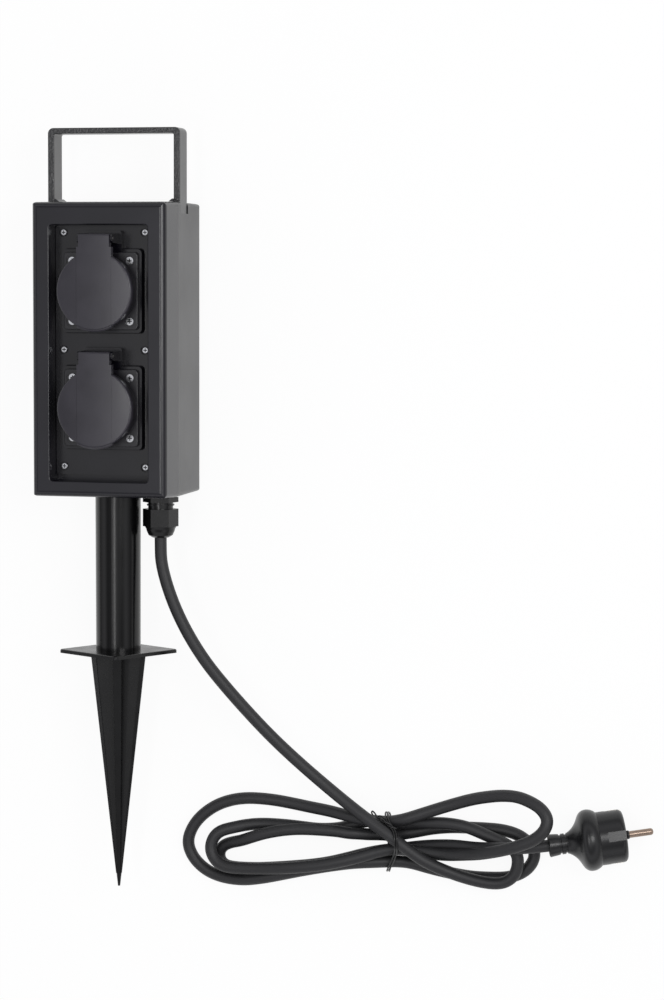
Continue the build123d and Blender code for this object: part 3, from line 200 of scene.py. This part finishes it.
drop = [(31.7, 83.9, 0.0), (31.7, 76.0, 0.0), (32.1, 66.0, 0.0), (35.8, 51.0, -0.1), (42.4, 33.0, -0.6),
        (51.4, 14.5, -2.2), (62.2, -3.0, -4.2), (73.6, -18.1, -6.8), (91.9, -39.5, -10.6),
        (111.8, -61.0, -15.0), (135.0, -82.3, -19.0)]
loops = [
    # over all the others at the waist, then round the low right fold
    (-34.0, 27.4, 21.0), (-16.8, 15.6, 22.6), (2.2, 3.2, 23.0), (16.5, -7.5, 23.0), (29.4, -15.6, 21.6),
    (50.3, -24.4, 16.0), (70.7, -28.9, DECK), (83.4, -27.6, DECK), (90.9, -19.8, DECK), (91.9, -7.8, DECK),
    # back to the left, down to the table under the waist, and up at the inner left fold
    (86.5, -1.6, DECK), (78.5, 2.1, DECK), (68.8, 5.8, DECK), (55.2, 11.1, DECK), (41.7, 13.0, DECK),
    (28, 12.4, 12.4), (17, 11.4, 10.4), (8, 10.6, 8.0), (0, 10.0, 5.6), (-9, 10.3, LAY), (-20, 10.2, LAY),
    (-31, 6.6, LAY), (-41, 3.4, LAY), (-56, 2.2, LAY), (-70, 3.4, LAY), (-84, 4.2, LAY), (-98, 4.2, LAY),
    (-108, 3.3, 6.0), (-117.6, 1.5, 9.0), (-128.2, -1.2, 12.0), (-133.5, -7.6, 13.0), (-134.5, -15.8, 14.0),
    (-129.8, -23.4, 15.0), (-121.7, -27.0, 16.0),
    # to the right on two strands and up to the high right fold
    (-104, -26.7, 17.0), (-89.5, -25.7, 18.4), (-75.6, -24.1, 20.4), (-61.7, -22.3, 21.4),
    (-48, -20.0, 21.7), (-34.6, -16.9, 21.2), (-21, -13.2, 19.0), (-8.3, -9.2, 14.8), (4, -6.8, 13.2),
    (20, -8.4, 13.8), (32, -9.5, 14.6), (42.3, -9.3, 16.4), (56.9, -6.9, 22.6), (66.8, -4.9, 28.4),
    (76.7, -2.0, 33.6), (86.3, 1.0, 37.8), (96.5, 4.6, 40.2), (107.6, 9.4, 41.0), (115.4, 16.8, 41.5),
    (117.0, 24.8, 40.0), (111.6, 31.6, 38.0), (103.2, 35.6, 35.5),
    # down again to the left and round the wide left fold
    (94.1, 37.8, 32), (84.5, 37.5, 28), (74.9, 35.9, 24), (60.4, 32.3, 18), (46.3, 27.6, 15.5),
    (32.7, 22.9, 15.5), (19.3, 18.2, 17.0), (10, 15.0, 17.4), (0, 12.4, 14.4), (-10, 11.9, 13.5),
    (-20, 12.7, 13.4), (-31, 14.3, 12.4), (-46.5, 16.8, 9), (-60.5, 18.2, 6.4), (-74.4, 20.1, 4.8),
    (-88.5, 22.0, LAY), (-102.5, 22.7, LAY), (-112.5, 22.2, LAY), (-122.5, 20.2, LAY),
    (-133.0, 16.0, LAY), (-143.4, 8.6, LAY), (-151.0, -0.8, LAY), (-154.8, -12.0, LAY),
    (-150.6, -23.2, LAY), (-140.8, -32.2, LAY),
    # to the right over one strand, then along the table to the low right fold
    (-128, -36.6, 5.6), (-112, -37.1, 9.4), (-96.2, -34.2, 12.2), (-82, -30.7, 12.8), (-68, -27.2, 13.0),
    (-54.3, -24.1, 13.2), (-41, -21.4, 13.2), (-27.7, -19.2, 13.0), (-14, -18.3, 10.6), (-6, -18.0, 7.8),
    (2, -17.7, 5.6), (12, -18.4, LAY), (26.4, -22.0, LAY), (41, -24.7, LAY), (56, -26.6, LAY),
    (70, -26.6, LAY), (82.6, -25.8, LAY), (91.4, -22.8, LAY), (98.0, -17.8, LAY), (101.9, -10.8, LAY),
    (101.4, -3.4, LAY),
    # back along the table, over one strand past the waist, and round the inner left fold
    (96.6, 1.2, LAY), (89.4, 5.8, LAY), (79, 8.4, LAY), (67, 8.9, LAY), (54, 8.8, LAY), (42, 8.6, LAY),
    (28, 6.9, LAY), (14, 3.5, LAY), (0, 0.8, LAY), (-10.3, 0.8, LAY), (-18, 0.9, 7.4), (-24.5, 1.6, 10.2),
    (-31.3, 2.0, 12.6), (-40, 3.2, 13.2), (-49, 3.6, DECK), (-58, 3.7, DECK), (-67.4, 3.5, DECK),
    (-76.6, 2.6, DECK), (-86, 0.9, DECK), (-95.3, -1.4, DECK), (-104.8, -4.9, 12.4), (-112.8, -8.2, 9.2),
    (-121.2, -10.4, 6.2), (-127.6, -13.4, 5.4), (-130.7, -19.3, LAY), (-129.2, -25.4, LAY),
    (-123.2, -29.0, LAY),
    # along the table below the others, then up towards the plug
    (-104, -28.9, LAY), (-89.5, -27.6, LAY), (-75.6, -26.0, LAY), (-61.7, -24.2, LAY), (-48, -21.6, LAY),
    (-34.6, -17.8, LAY), (-21, -13.6, LAY), (-8.3, -10.4, LAY), (4, -8.8, LAY), (18, -6.4, 4.8),
    (31.5, -4.6, 6.8), (45.5, -3.4, 10.0)]
tail = [(257.1, -134.0, -26.1), (277.0, -131.0, -15.6), (299.9, -128.4, -9.4), (324.3, -124.8, -15.8)]


def laid_curve(name, points_mm, radius_mm, roundness, material, closed=False):
    data = bpy.data.curves.new(name, "CURVE")
    data.dimensions = "3D"
    spline = data.splines.new("NURBS")
    spline.points.add(len(points_mm) - 1)
    for point, (x, y, z) in zip(spline.points, points_mm):
        point.co = (x / 1000, y / 1000, z / 1000, 1.0)
    spline.order_u = 3
    spline.use_cyclic_u = closed
    spline.use_endpoint_u = not closed
    data.resolution_u = 6
    data.bevel_depth = radius_mm / 1000
    data.bevel_resolution = roundness
    data.use_fill_caps = not closed
    data.materials.append(material)
    piece = bpy.data.objects.new(name, data)
    bpy.context.scene.collection.objects.link(piece)
    return piece


cord = laid_curve("cord", drop + [on_table(*p) for p in loops] + tail, CORD_R, 5, cord_rubber)
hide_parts("cord_drop", "cord_hank", "cord_tail")
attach(cord, "post")


# Tie of the hank: soft wire in a black plastic coat, wound twice round the six strands beside
# their crossing. Its ends are twisted together by hand and curl into two small open loops.
def moulded(name, base, rough, grain_mm, depth_mm, cloud_mm, gloss=0.5):
    material = bpy.data.materials.new(name)
    material.use_nodes = True
    shader = material.node_tree.nodes["Principled BSDF"]
    shader.inputs["Specular IOR Level"].default_value = gloss
    place = add_node(material, "ShaderNodeTexCoord")
    cloud = add_node(material, "ShaderNodeTexNoise", {"Scale": 1000.0 / cloud_mm, "Detail": 4.0},
                     {"Vector": place.outputs["Object"]})
    tint = add_node(material, "ShaderNodeValToRGB", None, {"Fac": cloud.outputs["Fac"]})
    for stop, at, share in zip(tint.color_ramp.elements, (0.3, 0.7), (0.85, 1.15)):
        stop.position = at
        stop.color = [c * share for c in srgb(base)[:3]] + [1.0]
    material.node_tree.links.new(tint.outputs["Color"], shader.inputs["Base Color"])
    rub = add_node(material, "ShaderNodeMapRange",
                   {"From Min": 0.3, "From Max": 0.7, "To Min": rough - 0.04, "To Max": rough + 0.04},
                   {"Value": cloud.outputs["Fac"]})
    material.node_tree.links.new(rub.outputs[0], shader.inputs["Roughness"])
    grain = add_node(material, "ShaderNodeTexNoise", {"Scale": 1000.0 / grain_mm, "Detail": 2.0},
                     {"Vector": place.outputs["Object"]})
    bump = add_node(material, "ShaderNodeBump", {"Strength": 1.0, "Distance": depth_mm / 1000},
                    {"Height": grain.outputs["Fac"]})
    material.node_tree.links.new(bump.outputs[0], shader.inputs["Normal"])
    return material


# plastic coat on soft wire: near black, with thin bright lines along the turns
coat_black = moulded("coated_tie_wire", "#0b0b0c", rough=0.35, grain_mm=0.4, depth_mm=0.01, cloud_mm=9.0)
WIRE_R, TWIST_WIRE_R = 0.62, 0.55
TIE_LOOP = [(-3.8, -25.4, 5.4), (-4.2, -23.4, -0.4), (-4.4, -8.0, -0.4), (-4.2, 14.5, -0.6),
            (-4.4, 18.0, 6.0), (-3.6, 18.4, 14.0), (-1.6, 14.8, 20.4), (1.8, 10.8, 22.0), (5.2, 7.4, 25.6),
            (6.6, 3.8, 28.6), (6.6, -2.8, 28.2), (5.0, -8.6, 21.6), (2.6, -13.4, 17.8),
            (-0.4, -19.2, 13.6), (-3.0, -23.8, 10.0)]
TURN_ASIDE = 0.8
tie_pieces = []
for k, aside in enumerate((-TURN_ASIDE, TURN_ASIDE)):
    ring = [on_table(u + aside, v, h) for u, v, h in TIE_LOOP]
    tie_pieces.append(laid_curve(f"tie_turn_{k + 1}", ring, WIRE_R, 4, coat_black, closed=True))
TWIST_FROM, TWIST_RUN = (5.0, 8.8, 23.0), (-13.4, 8.0, -2.0)
TWIST_ANGLE, TWIST_STEPS = 2.6 * math.pi, 12
TWIST_OUT, TWIST_UP = 0.62, 0.8
end_curls = ([(-10.4, 19.0, 20.4), (-12.6, 20.8, 20.0), (-13.4, 19.2, 19.4), (-12.0, 16.6, 19.0),
              (-10.4, 15.4, 18.6)],
             [(-7.6, 17.6, 21.2), (-5.0, 17.6, 21.6), (-3.0, 16.0, 21.4), (-3.2, 13.8, 20.8)])
for k, (phase, curl) in enumerate(zip((0.0, math.pi), end_curls)):
    strand = []
    for i in range(TWIST_STEPS + 1):
        share = i / TWIST_STEPS
        turn = phase + TWIST_ANGLE * share
        u, v, h = (start + run * share for start, run in zip(TWIST_FROM, TWIST_RUN))
        out = TWIST_OUT * math.cos(turn)
        strand.append(on_table(u + out, v + out, h + TWIST_UP * math.sin(turn)))
    strand += [on_table(*p) for p in curl]
    tie_pieces.append(laid_curve(f"tie_end_{k + 1}", strand, TWIST_WIRE_R, 4, coat_black))
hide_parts("bundle_tie")
for piece in tie_pieces:
    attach(piece, "post")


# Plug: one round rubber moulding over the cord, ribbed at its neck, with two round nickel pins,
# a sprung earth strip in each side slot and a black insulating sleeve at the root of each pin.
def dress(node, material):
    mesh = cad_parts[node].data
    mesh.materials.clear()
    mesh.materials.append(material)


# moulded rubber: deeper black than the cord, with a soft highlight on the round flange
dress("plug_body", rubber("moulded_plug_rubber", "#0d0d0f", rough=0.3, speck_mm=0.5, bump=0.08, gloss=0.45))
PLUG_MOUTH = Vector((0.3109, -0.1268, -0.01225))
down, turn, roll = math.radians(14.5), math.radians(8.35), math.radians(10.1)
plug_axis = Vector((math.cos(down) * math.cos(turn), math.cos(down) * math.sin(turn), -math.sin(down)))
upright = Vector((math.sin(down) * math.cos(turn), math.sin(down) * math.sin(turn), math.cos(down)))
plug_up = Matrix.Rotation(-roll, 3, plug_axis) @ upright
plug_side = plug_axis.cross(plug_up)
plug_frame = Matrix.Translation(PLUG_MOUTH) @ Matrix((plug_up, plug_side, plug_axis)).transposed().to_4x4()


def metal(name, base, rough, streak_mm, depth_mm, lines=(1.0, 1.0, 1.0), head_top_mm=None):
    material = bpy.data.materials.new(name)
    material.use_nodes = True
    shader = material.node_tree.nodes["Principled BSDF"]
    shader.inputs["Metallic"].default_value = 1.0
    place = add_node(material, "ShaderNodeTexCoord")
    stretch = add_node(material, "ShaderNodeMapping", {"Scale": lines}, {"Vector": place.outputs["Object"]})
    streak = add_node(material, "ShaderNodeTexNoise", {"Scale": 1000.0 / streak_mm, "Detail": 3.0},
                      {"Vector": stretch.outputs[0]})
    tint = add_node(material, "ShaderNodeValToRGB", None, {"Fac": streak.outputs["Fac"]})
    for stop, share in zip(tint.color_ramp.elements, (0.8, 1.0)):
        stop.color = [c * share for c in srgb(base)[:3]] + [1.0]
    material.node_tree.links.new(tint.outputs["Color"], shader.inputs["Base Color"])
    if head_top_mm:
        # painted shade darkens the cross recess, from just under the top of the screw's head down
        depth = add_node(material, "ShaderNodeSeparateXYZ", None, {0: place.outputs["Object"]})
        recess = add_node(material, "ShaderNodeMapRange",
                          {"From Min": head_top_mm / 1000 - 0.0007, "To Min": 0.04,
                           "From Max": head_top_mm / 1000 - 0.00005, "To Max": 1.0},
                          {"Value": depth.outputs["Z"]})
        painted_recess_shade = add_node(material, "ShaderNodeMix", {"data_type": "RGBA", "blend_type": "MULTIPLY"})
        painted_recess_shade.inputs[0].default_value = 1.0
        material.node_tree.links.new(tint.outputs["Color"], painted_recess_shade.inputs[6])
        material.node_tree.links.new(recess.outputs[0], painted_recess_shade.inputs[7])
        material.node_tree.links.new(painted_recess_shade.outputs[2], shader.inputs["Base Color"])
    rub = add_node(material, "ShaderNodeMapRange", {"To Min": rough - 0.08, "To Max": rough + 0.08},
                   {"Value": streak.outputs["Fac"]})
    material.node_tree.links.new(rub.outputs[0], shader.inputs["Roughness"])
    grain = add_node(material, "ShaderNodeBump", {"Strength": 0.3, "Distance": depth_mm / 1000},
                     {"Height": streak.outputs["Fac"]})
    material.node_tree.links.new(grain.outputs[0], shader.inputs["Normal"])
    return material


# nickel plate on turned brass: warm grey, with one soft bright line along each pin
dress("plug_pins", metal("nickel_plated_pin", "#a39082", rough=0.3, streak_mm=4.0, depth_mm=0.003))
# nickel plate on rolled strip: cooler and flatter than the pins
dress("plug_earth_strips", metal("nickel_plated_strip", "#aaa49a", rough=0.3, streak_mm=0.5, depth_mm=0.01))


def new_piece(name, mesh, material):
    data = bpy.data.meshes.new(name)
    mesh.normal_update()
    mesh.to_mesh(data)
    mesh.free()
    data.materials.append(material)
    piece = bpy.data.objects.new(name, data)
    bpy.context.scene.collection.objects.link(piece)
    return piece


def spun(name, profile_mm, place, material, body="post", segments=64):
    mesh = bmesh.new()
    corners = [mesh.verts.new((r / 1000, 0.0, z / 1000)) for r, z in profile_mm]
    edges = [mesh.edges.new((a, b)) for a, b in zip(corners, corners[1:] + corners[:1])]
    bmesh.ops.spin(mesh, geom=corners + edges, axis=(0, 0, 1), cent=(0, 0, 0), dvec=(0, 0, 0),
                   angle=2 * math.pi, steps=segments, use_merge=True)
    bmesh.ops.remove_doubles(mesh, verts=mesh.verts, dist=1e-7)
    bmesh.ops.recalc_face_normals(mesh, faces=mesh.faces)
    for face in mesh.faces:
        face.smooth = True
    bmesh.ops.transform(mesh, matrix=place, verts=mesh.verts)
    piece = new_piece(name, mesh, material)
    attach(piece, body)
    return piece


# moulded nylon: matte black, so each pin starts from a dark ring
sleeve_black = moulded("pin_sleeve_nylon", "#101012", rough=0.4, grain_mm=0.6, depth_mm=0.01, cloud_mm=6.0)
sleeve_profile = [(2.45, 53.85), (3.0, 53.85), (3.0, 55.4), (2.8, 55.9), (2.45, 56.0)]
PIN_OUT = 0.0095
for k, out in enumerate((-1, 1)):
    place = plug_frame @ Matrix.Translation((out * PIN_OUT, 0.0, 0.0))
    collar = spun(f"pin_collar_{k + 1}", sleeve_profile, place, sleeve_black, segments=32)

# Cable gland: black nylon body and dome nut with flats for a spanner, drawn up on a rubber grommet
# that grips the cord. A locknut holds it inside the box and a flat ring seals it outside.
# moulded polyamide: deep black with small crisp highlights on its flats
gland_nylon = moulded("moulded_polyamide", "#09090a", rough=0.25, grain_mm=0.7, depth_mm=0.008,
                      cloud_mm=12.0, gloss=0.35)
for node in ("gland_body", "gland_dome_nut", "gland_locknut"):
    dress(node, gland_nylon)
# moulded grommet rubber: a dull dark grey ring round the cord
dress("gland_grommet", rubber("grommet_rubber", "#1c1c1d", rough=0.6, speck_mm=0.4, bump=0.2))
# soft seal rubber: dull black with no clear highlight
seal_rubber = rubber("seal_rubber", "#141414", rough=0.65, speck_mm=0.5, bump=0.3)
gland_low, gland_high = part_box("gland_seal_ring")
gland_middle = (gland_low + gland_high) / 2
ring_profile = [(8.1, -0.6), (10.3, -0.6), (10.65, -0.3), (10.65, 0.3), (10.3, 0.6), (8.1, 0.6)]
along_post = Matrix.Translation(gland_middle) @ Matrix.Rotation(math.radians(-90), 4, "X")
gland_ring = spun("gland_ring", ring_profile, along_post, seal_rubber)
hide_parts("gland_seal_ring")

# Box: two drafted shells in black polypropylene, joined on a seal at the parting. The front one
# holds the recess with the mounting plate; the rear one takes the handle, the tube and the gland.
# polypropylene from a polished mould: bluish black, with wide soft reflections on the frame
dress("front_shell", moulded("polished_mould_polypropylene", "#0f0e16", rough=0.24, grain_mm=0.5,
                             depth_mm=0.006, cloud_mm=55.0))
# polypropylene from a satin mould: its flanks look paler and more even than the front
dress("rear_shell", moulded("satin_mould_polypropylene", "#17171a", rough=0.33, grain_mm=0.5,
                            depth_mm=0.008, cloud_mm=60.0, gloss=0.62))
dress("shell_seal", seal_rubber)


# Carry handle: one strap moulded in black polypropylene with a sparked, grainy face. Its two feet
# sit in pockets of the rear shell, each held by a screw from inside.
def grain_bump(material):
    return next(node for node in material.node_tree.nodes if node.type == "BUMP")


# spark-eroded grain, drawn coarser than the real one so that it shows: the face glitters a little
handle_grain = moulded("sparked_mould_polypropylene", "#121214", rough=0.3, grain_mm=1.3, depth_mm=0.5,
                       cloud_mm=30.0, gloss=0.85)
facing = add_node(handle_grain, "ShaderNodeNewGeometry")
split = add_node(handle_grain, "ShaderNodeSeparateXYZ", None, {0: facing.outputs["Normal"]})
# only the front face is grainy, the flanks come smooth out of the mould
front_only = add_node(handle_grain, "ShaderNodeMapRange",
                      {"From Min": 0.6, "From Max": 0.9, "To Min": 0.1, "To Max": 1.0},
                      {"Value": split.outputs["Z"]})
handle_grain.node_tree.links.new(front_only.outputs[0], grain_bump(handle_grain).inputs["Strength"])
dress("carry_handle", handle_grain)
# zinc plate: plain light grey steel, hidden in the box
dress("handle_screws", metal("zinc_plated_steel", "#b9bbbd", rough=0.35, streak_mm=0.5, depth_mm=0.01))

# Mounting plate: satin black moulding sunk in the recess, with a raised seat and two hinge ears
# for each socket. Six zinc screws hold it on its flat seal to the ledge of the front shell.
# polyamide from a polished mould: the darkest face, with faint clouds in its reflections
dress("mounting_plate", moulded("polished_mould_polyamide", "#0b0a11", rough=0.24, grain_mm=0.5,
                                depth_mm=0.006, cloud_mm=38.0))
dress("plate_seal", seal_rubber)
# bright zinc: silvery heads, with painted shade in the cross recess of each
dress("plate_screws", metal("bright_zinc_plate_screw", "#d2d3d6", rough=0.2, streak_mm=0.9, depth_mm=0.08,
                            head_top_mm=30.1))

# Sockets: black flanged body with a round well, an insert of white steatite with two brass
# sleeves, an earth strip up both sides of the well, four zinc screws and a gasket under the flange.
# polyamide from a satin mould: a little paler than the plate around it
body_black = moulded("satin_mould_polyamide", "#141318", rough=0.34, grain_mm=0.5, depth_mm=0.01,
                     cloud_mm=26.0)
# fired steatite: off-white and matte, like unglazed china
steatite = moulded("fired_steatite", "#dcd8cc", rough=0.62, grain_mm=0.3, depth_mm=0.02, cloud_mm=8.0)
# turned brass: yellow, with fine rings from the lathe
brass = metal("turned_brass", "#c8a04f", rough=0.25, streak_mm=0.4, depth_mm=0.01, lines=(1.0, 1.0, 6.0))
# nickel plate on spring strip: pale warm grey with soft reflections
strip_nickel = metal("nickel_plated_earth_strip", "#b4b0a6", rough=0.28, streak_mm=0.6, depth_mm=0.01)
# bright zinc again, its painted recess shade set at the height of the flange screws
flange_zinc = metal("bright_zinc_flange_screw", "#d2d3d6", rough=0.2, streak_mm=0.9, depth_mm=0.08,
                    head_top_mm=37.9)
FLANGE_HALF = 0.027
CORNER_CUT = 0.0028
TOP_EDGE = 0.0264  # the gasket stops just short of the flange at the hinge
BARREL_HOLE = 0.0228
SCREW_OUT = 0.021
SCREW_HOLE = 0.0017


def gasket(side):
    low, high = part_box(f"{side}_socket_gasket")
    mesh = bmesh.new()
    corners = bmesh.ops.create_circle(mesh, segments=4, radius=FLANGE_HALF * math.sqrt(2),
                                      matrix=Matrix.Rotation(math.radians(45), 4, "Z"))["verts"]
    bmesh.ops.bevel(mesh, geom=corners, offset=CORNER_CUT, segments=6, affect="VERTICES", profile=0.5,
                    material=-1)
    for vert in mesh.verts:
        vert.co.y = min(vert.co.y, TOP_EDGE)
    bmesh.ops.create_circle(mesh, segments=64, radius=BARREL_HOLE)
    for x in (-SCREW_OUT, SCREW_OUT):
        for y in (-SCREW_OUT, SCREW_OUT):
            bmesh.ops.create_circle(mesh, segments=20, radius=SCREW_HOLE,
                                    matrix=Matrix.Translation((x, y, 0)))
    bmesh.ops.triangle_fill(mesh, use_beauty=True, edges=mesh.edges)
    lifted = bmesh.ops.extrude_face_region(mesh, geom=list(mesh.faces))["geom"]
    bmesh.ops.translate(mesh, verts=[g for g in lifted if isinstance(g, bmesh.types.BMVert)],
                        vec=(0, 0, high.z - low.z))
    bmesh.ops.translate(mesh, verts=mesh.verts, vec=(0.0, low.y + FLANGE_HALF, low.z))
    bmesh.ops.recalc_face_normals(mesh, faces=mesh.faces)
    piece = new_piece(f"{side}_flange_gasket", mesh, seal_rubber)
    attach(piece, "post")
    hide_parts(f"{side}_socket_gasket")


for side in ("lower", "upper"):
    dress(f"{side}_socket_body", body_black)
    dress(f"{side}_contact_insert", steatite)
    dress(f"{side}_contact_sleeves", brass)
    dress(f"{side}_earth_clip", strip_nickel)
    dress(f"{side}_socket_screws", flange_zinc)
    gasket(side)

# Lids: matte dark grey moulding, slightly domed, with a flat band up to its hinge. Each turns on a
# nickel-plated pin between the ears and is shut by a small spring; a soft ring seals it on the collar.
# polyamide from a matte mould: dark grey, and it takes the light in one soft sweep from left to right
lid_grey = moulded("matte_mould_polyamide", "#2a282f", rough=0.32, grain_mm=0.45, depth_mm=0.01,
                   cloud_mm=20.0)
lid_grain = grain_bump(lid_grey)
# the crown of the lid, in the shading only: its height falls off by 2.2 times x squared, in metres
CROWN_FALL = -2.2
lid_place = add_node(lid_grey, "ShaderNodeTexCoord")
lid_across = add_node(lid_grey, "ShaderNodeSeparateXYZ", None, {0: lid_place.outputs["Object"]})
across_squared = add_node(lid_grey, "ShaderNodeMath", {"operation": "POWER", 1: 2.0},
                          {0: lid_across.outputs["X"]})
crown_height = add_node(lid_grey, "ShaderNodeMath", {"operation": "MULTIPLY", 1: CROWN_FALL},
                        {0: across_squared.outputs[0]})
crown = add_node(lid_grey, "ShaderNodeBump", {"Strength": 1.0, "Distance": 1.0},
                 {"Height": crown_height.outputs[0]})
lid_grey.node_tree.links.new(crown.outputs[0], lid_grain.inputs["Normal"])
# nickel plate on the hinge pins: plain pale ends beside the ears
hinge_steel = metal("nickel_plated_hinge_pin", "#b4b2ad", rough=0.3, streak_mm=0.4, depth_mm=0.01)
# drawn stainless wire: grey, with a thin bright line on each coil
spring_wire = metal("drawn_stainless_wire", "#8e9093", rough=0.3, streak_mm=0.3, depth_mm=0.01)
lid_seal_profile = [(20.5, 51.6), (20.5, 49.4), (21.1, 48.6), (22.0, 48.35), (23.4, 48.35), (24.4, 48.6),
                    (25.0, 49.4), (25.0, 51.6)]
for side in ("lower", "upper"):
    dress(f"{side}_lid", lid_grey)
    dress(f"{side}_hinge_pin", hinge_steel)
    dress(f"{side}_lid_spring", spring_wire)
    low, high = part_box(f"{side}_lid_seal")
    centre = (low + high) / 2
    seal = spun(f"{side}_lid_ring", lid_seal_profile, Matrix.Translation((centre.x, centre.y, 0.0)),
                seal_rubber, f"{side}_lid", 72)
    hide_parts(f"{side}_lid_seal")

# Post tube: drawn steel tube in gloss black powder coat, pushed up into the collar of the box and
# held there by one screw from behind.
# gloss powder coat: the deepest black, with clear light lines along the tube and a slight waviness
dress("post_tube", moulded("gloss_powder_coat", "#060607", rough=0.2, grain_mm=1.6, depth_mm=0.01,
                           cloud_mm=70.0, gloss=0.3))
# zinc plate: light grey, hidden behind the tube
dress("post_screw", metal("zinc_plated_post_screw", "#b9bbbd", rough=0.35, streak_mm=0.5, depth_mm=0.01))

# Ground spike: four-armed spike with a square ground plate and a spigot in the tube, one moulding
# in black glass-filled plastic with a dull, slightly scuffed skin.
# glass-filled nylon: dull black, with small clouds where the fibres reach the skin
dress("ground_spike", moulded("glass_filled_nylon", "#09090a", rough=0.28, grain_mm=0.6, depth_mm=0.012,
                              cloud_mm=14.0, gloss=0.3))

# Wiring in the box: the cord's end behind the gland and three leads in brown, blue and green,
# plastic insulated, on to the lower socket and from there to the upper one.
dress("cord_entry", cord_rubber)
# extruded soft vinyl: plain even colour with a narrow highlight along each lead
for node, name, base in (("lead_line", "brown_vinyl", "#5d3220"), ("lead_neutral", "blue_vinyl", "#2a63b0"),
                         ("lead_earth", "green_vinyl", "#4f9a36")):
    dress(node, moulded(name, base, rough=0.4, grain_mm=0.5, depth_mm=0.01, cloud_mm=10.0))
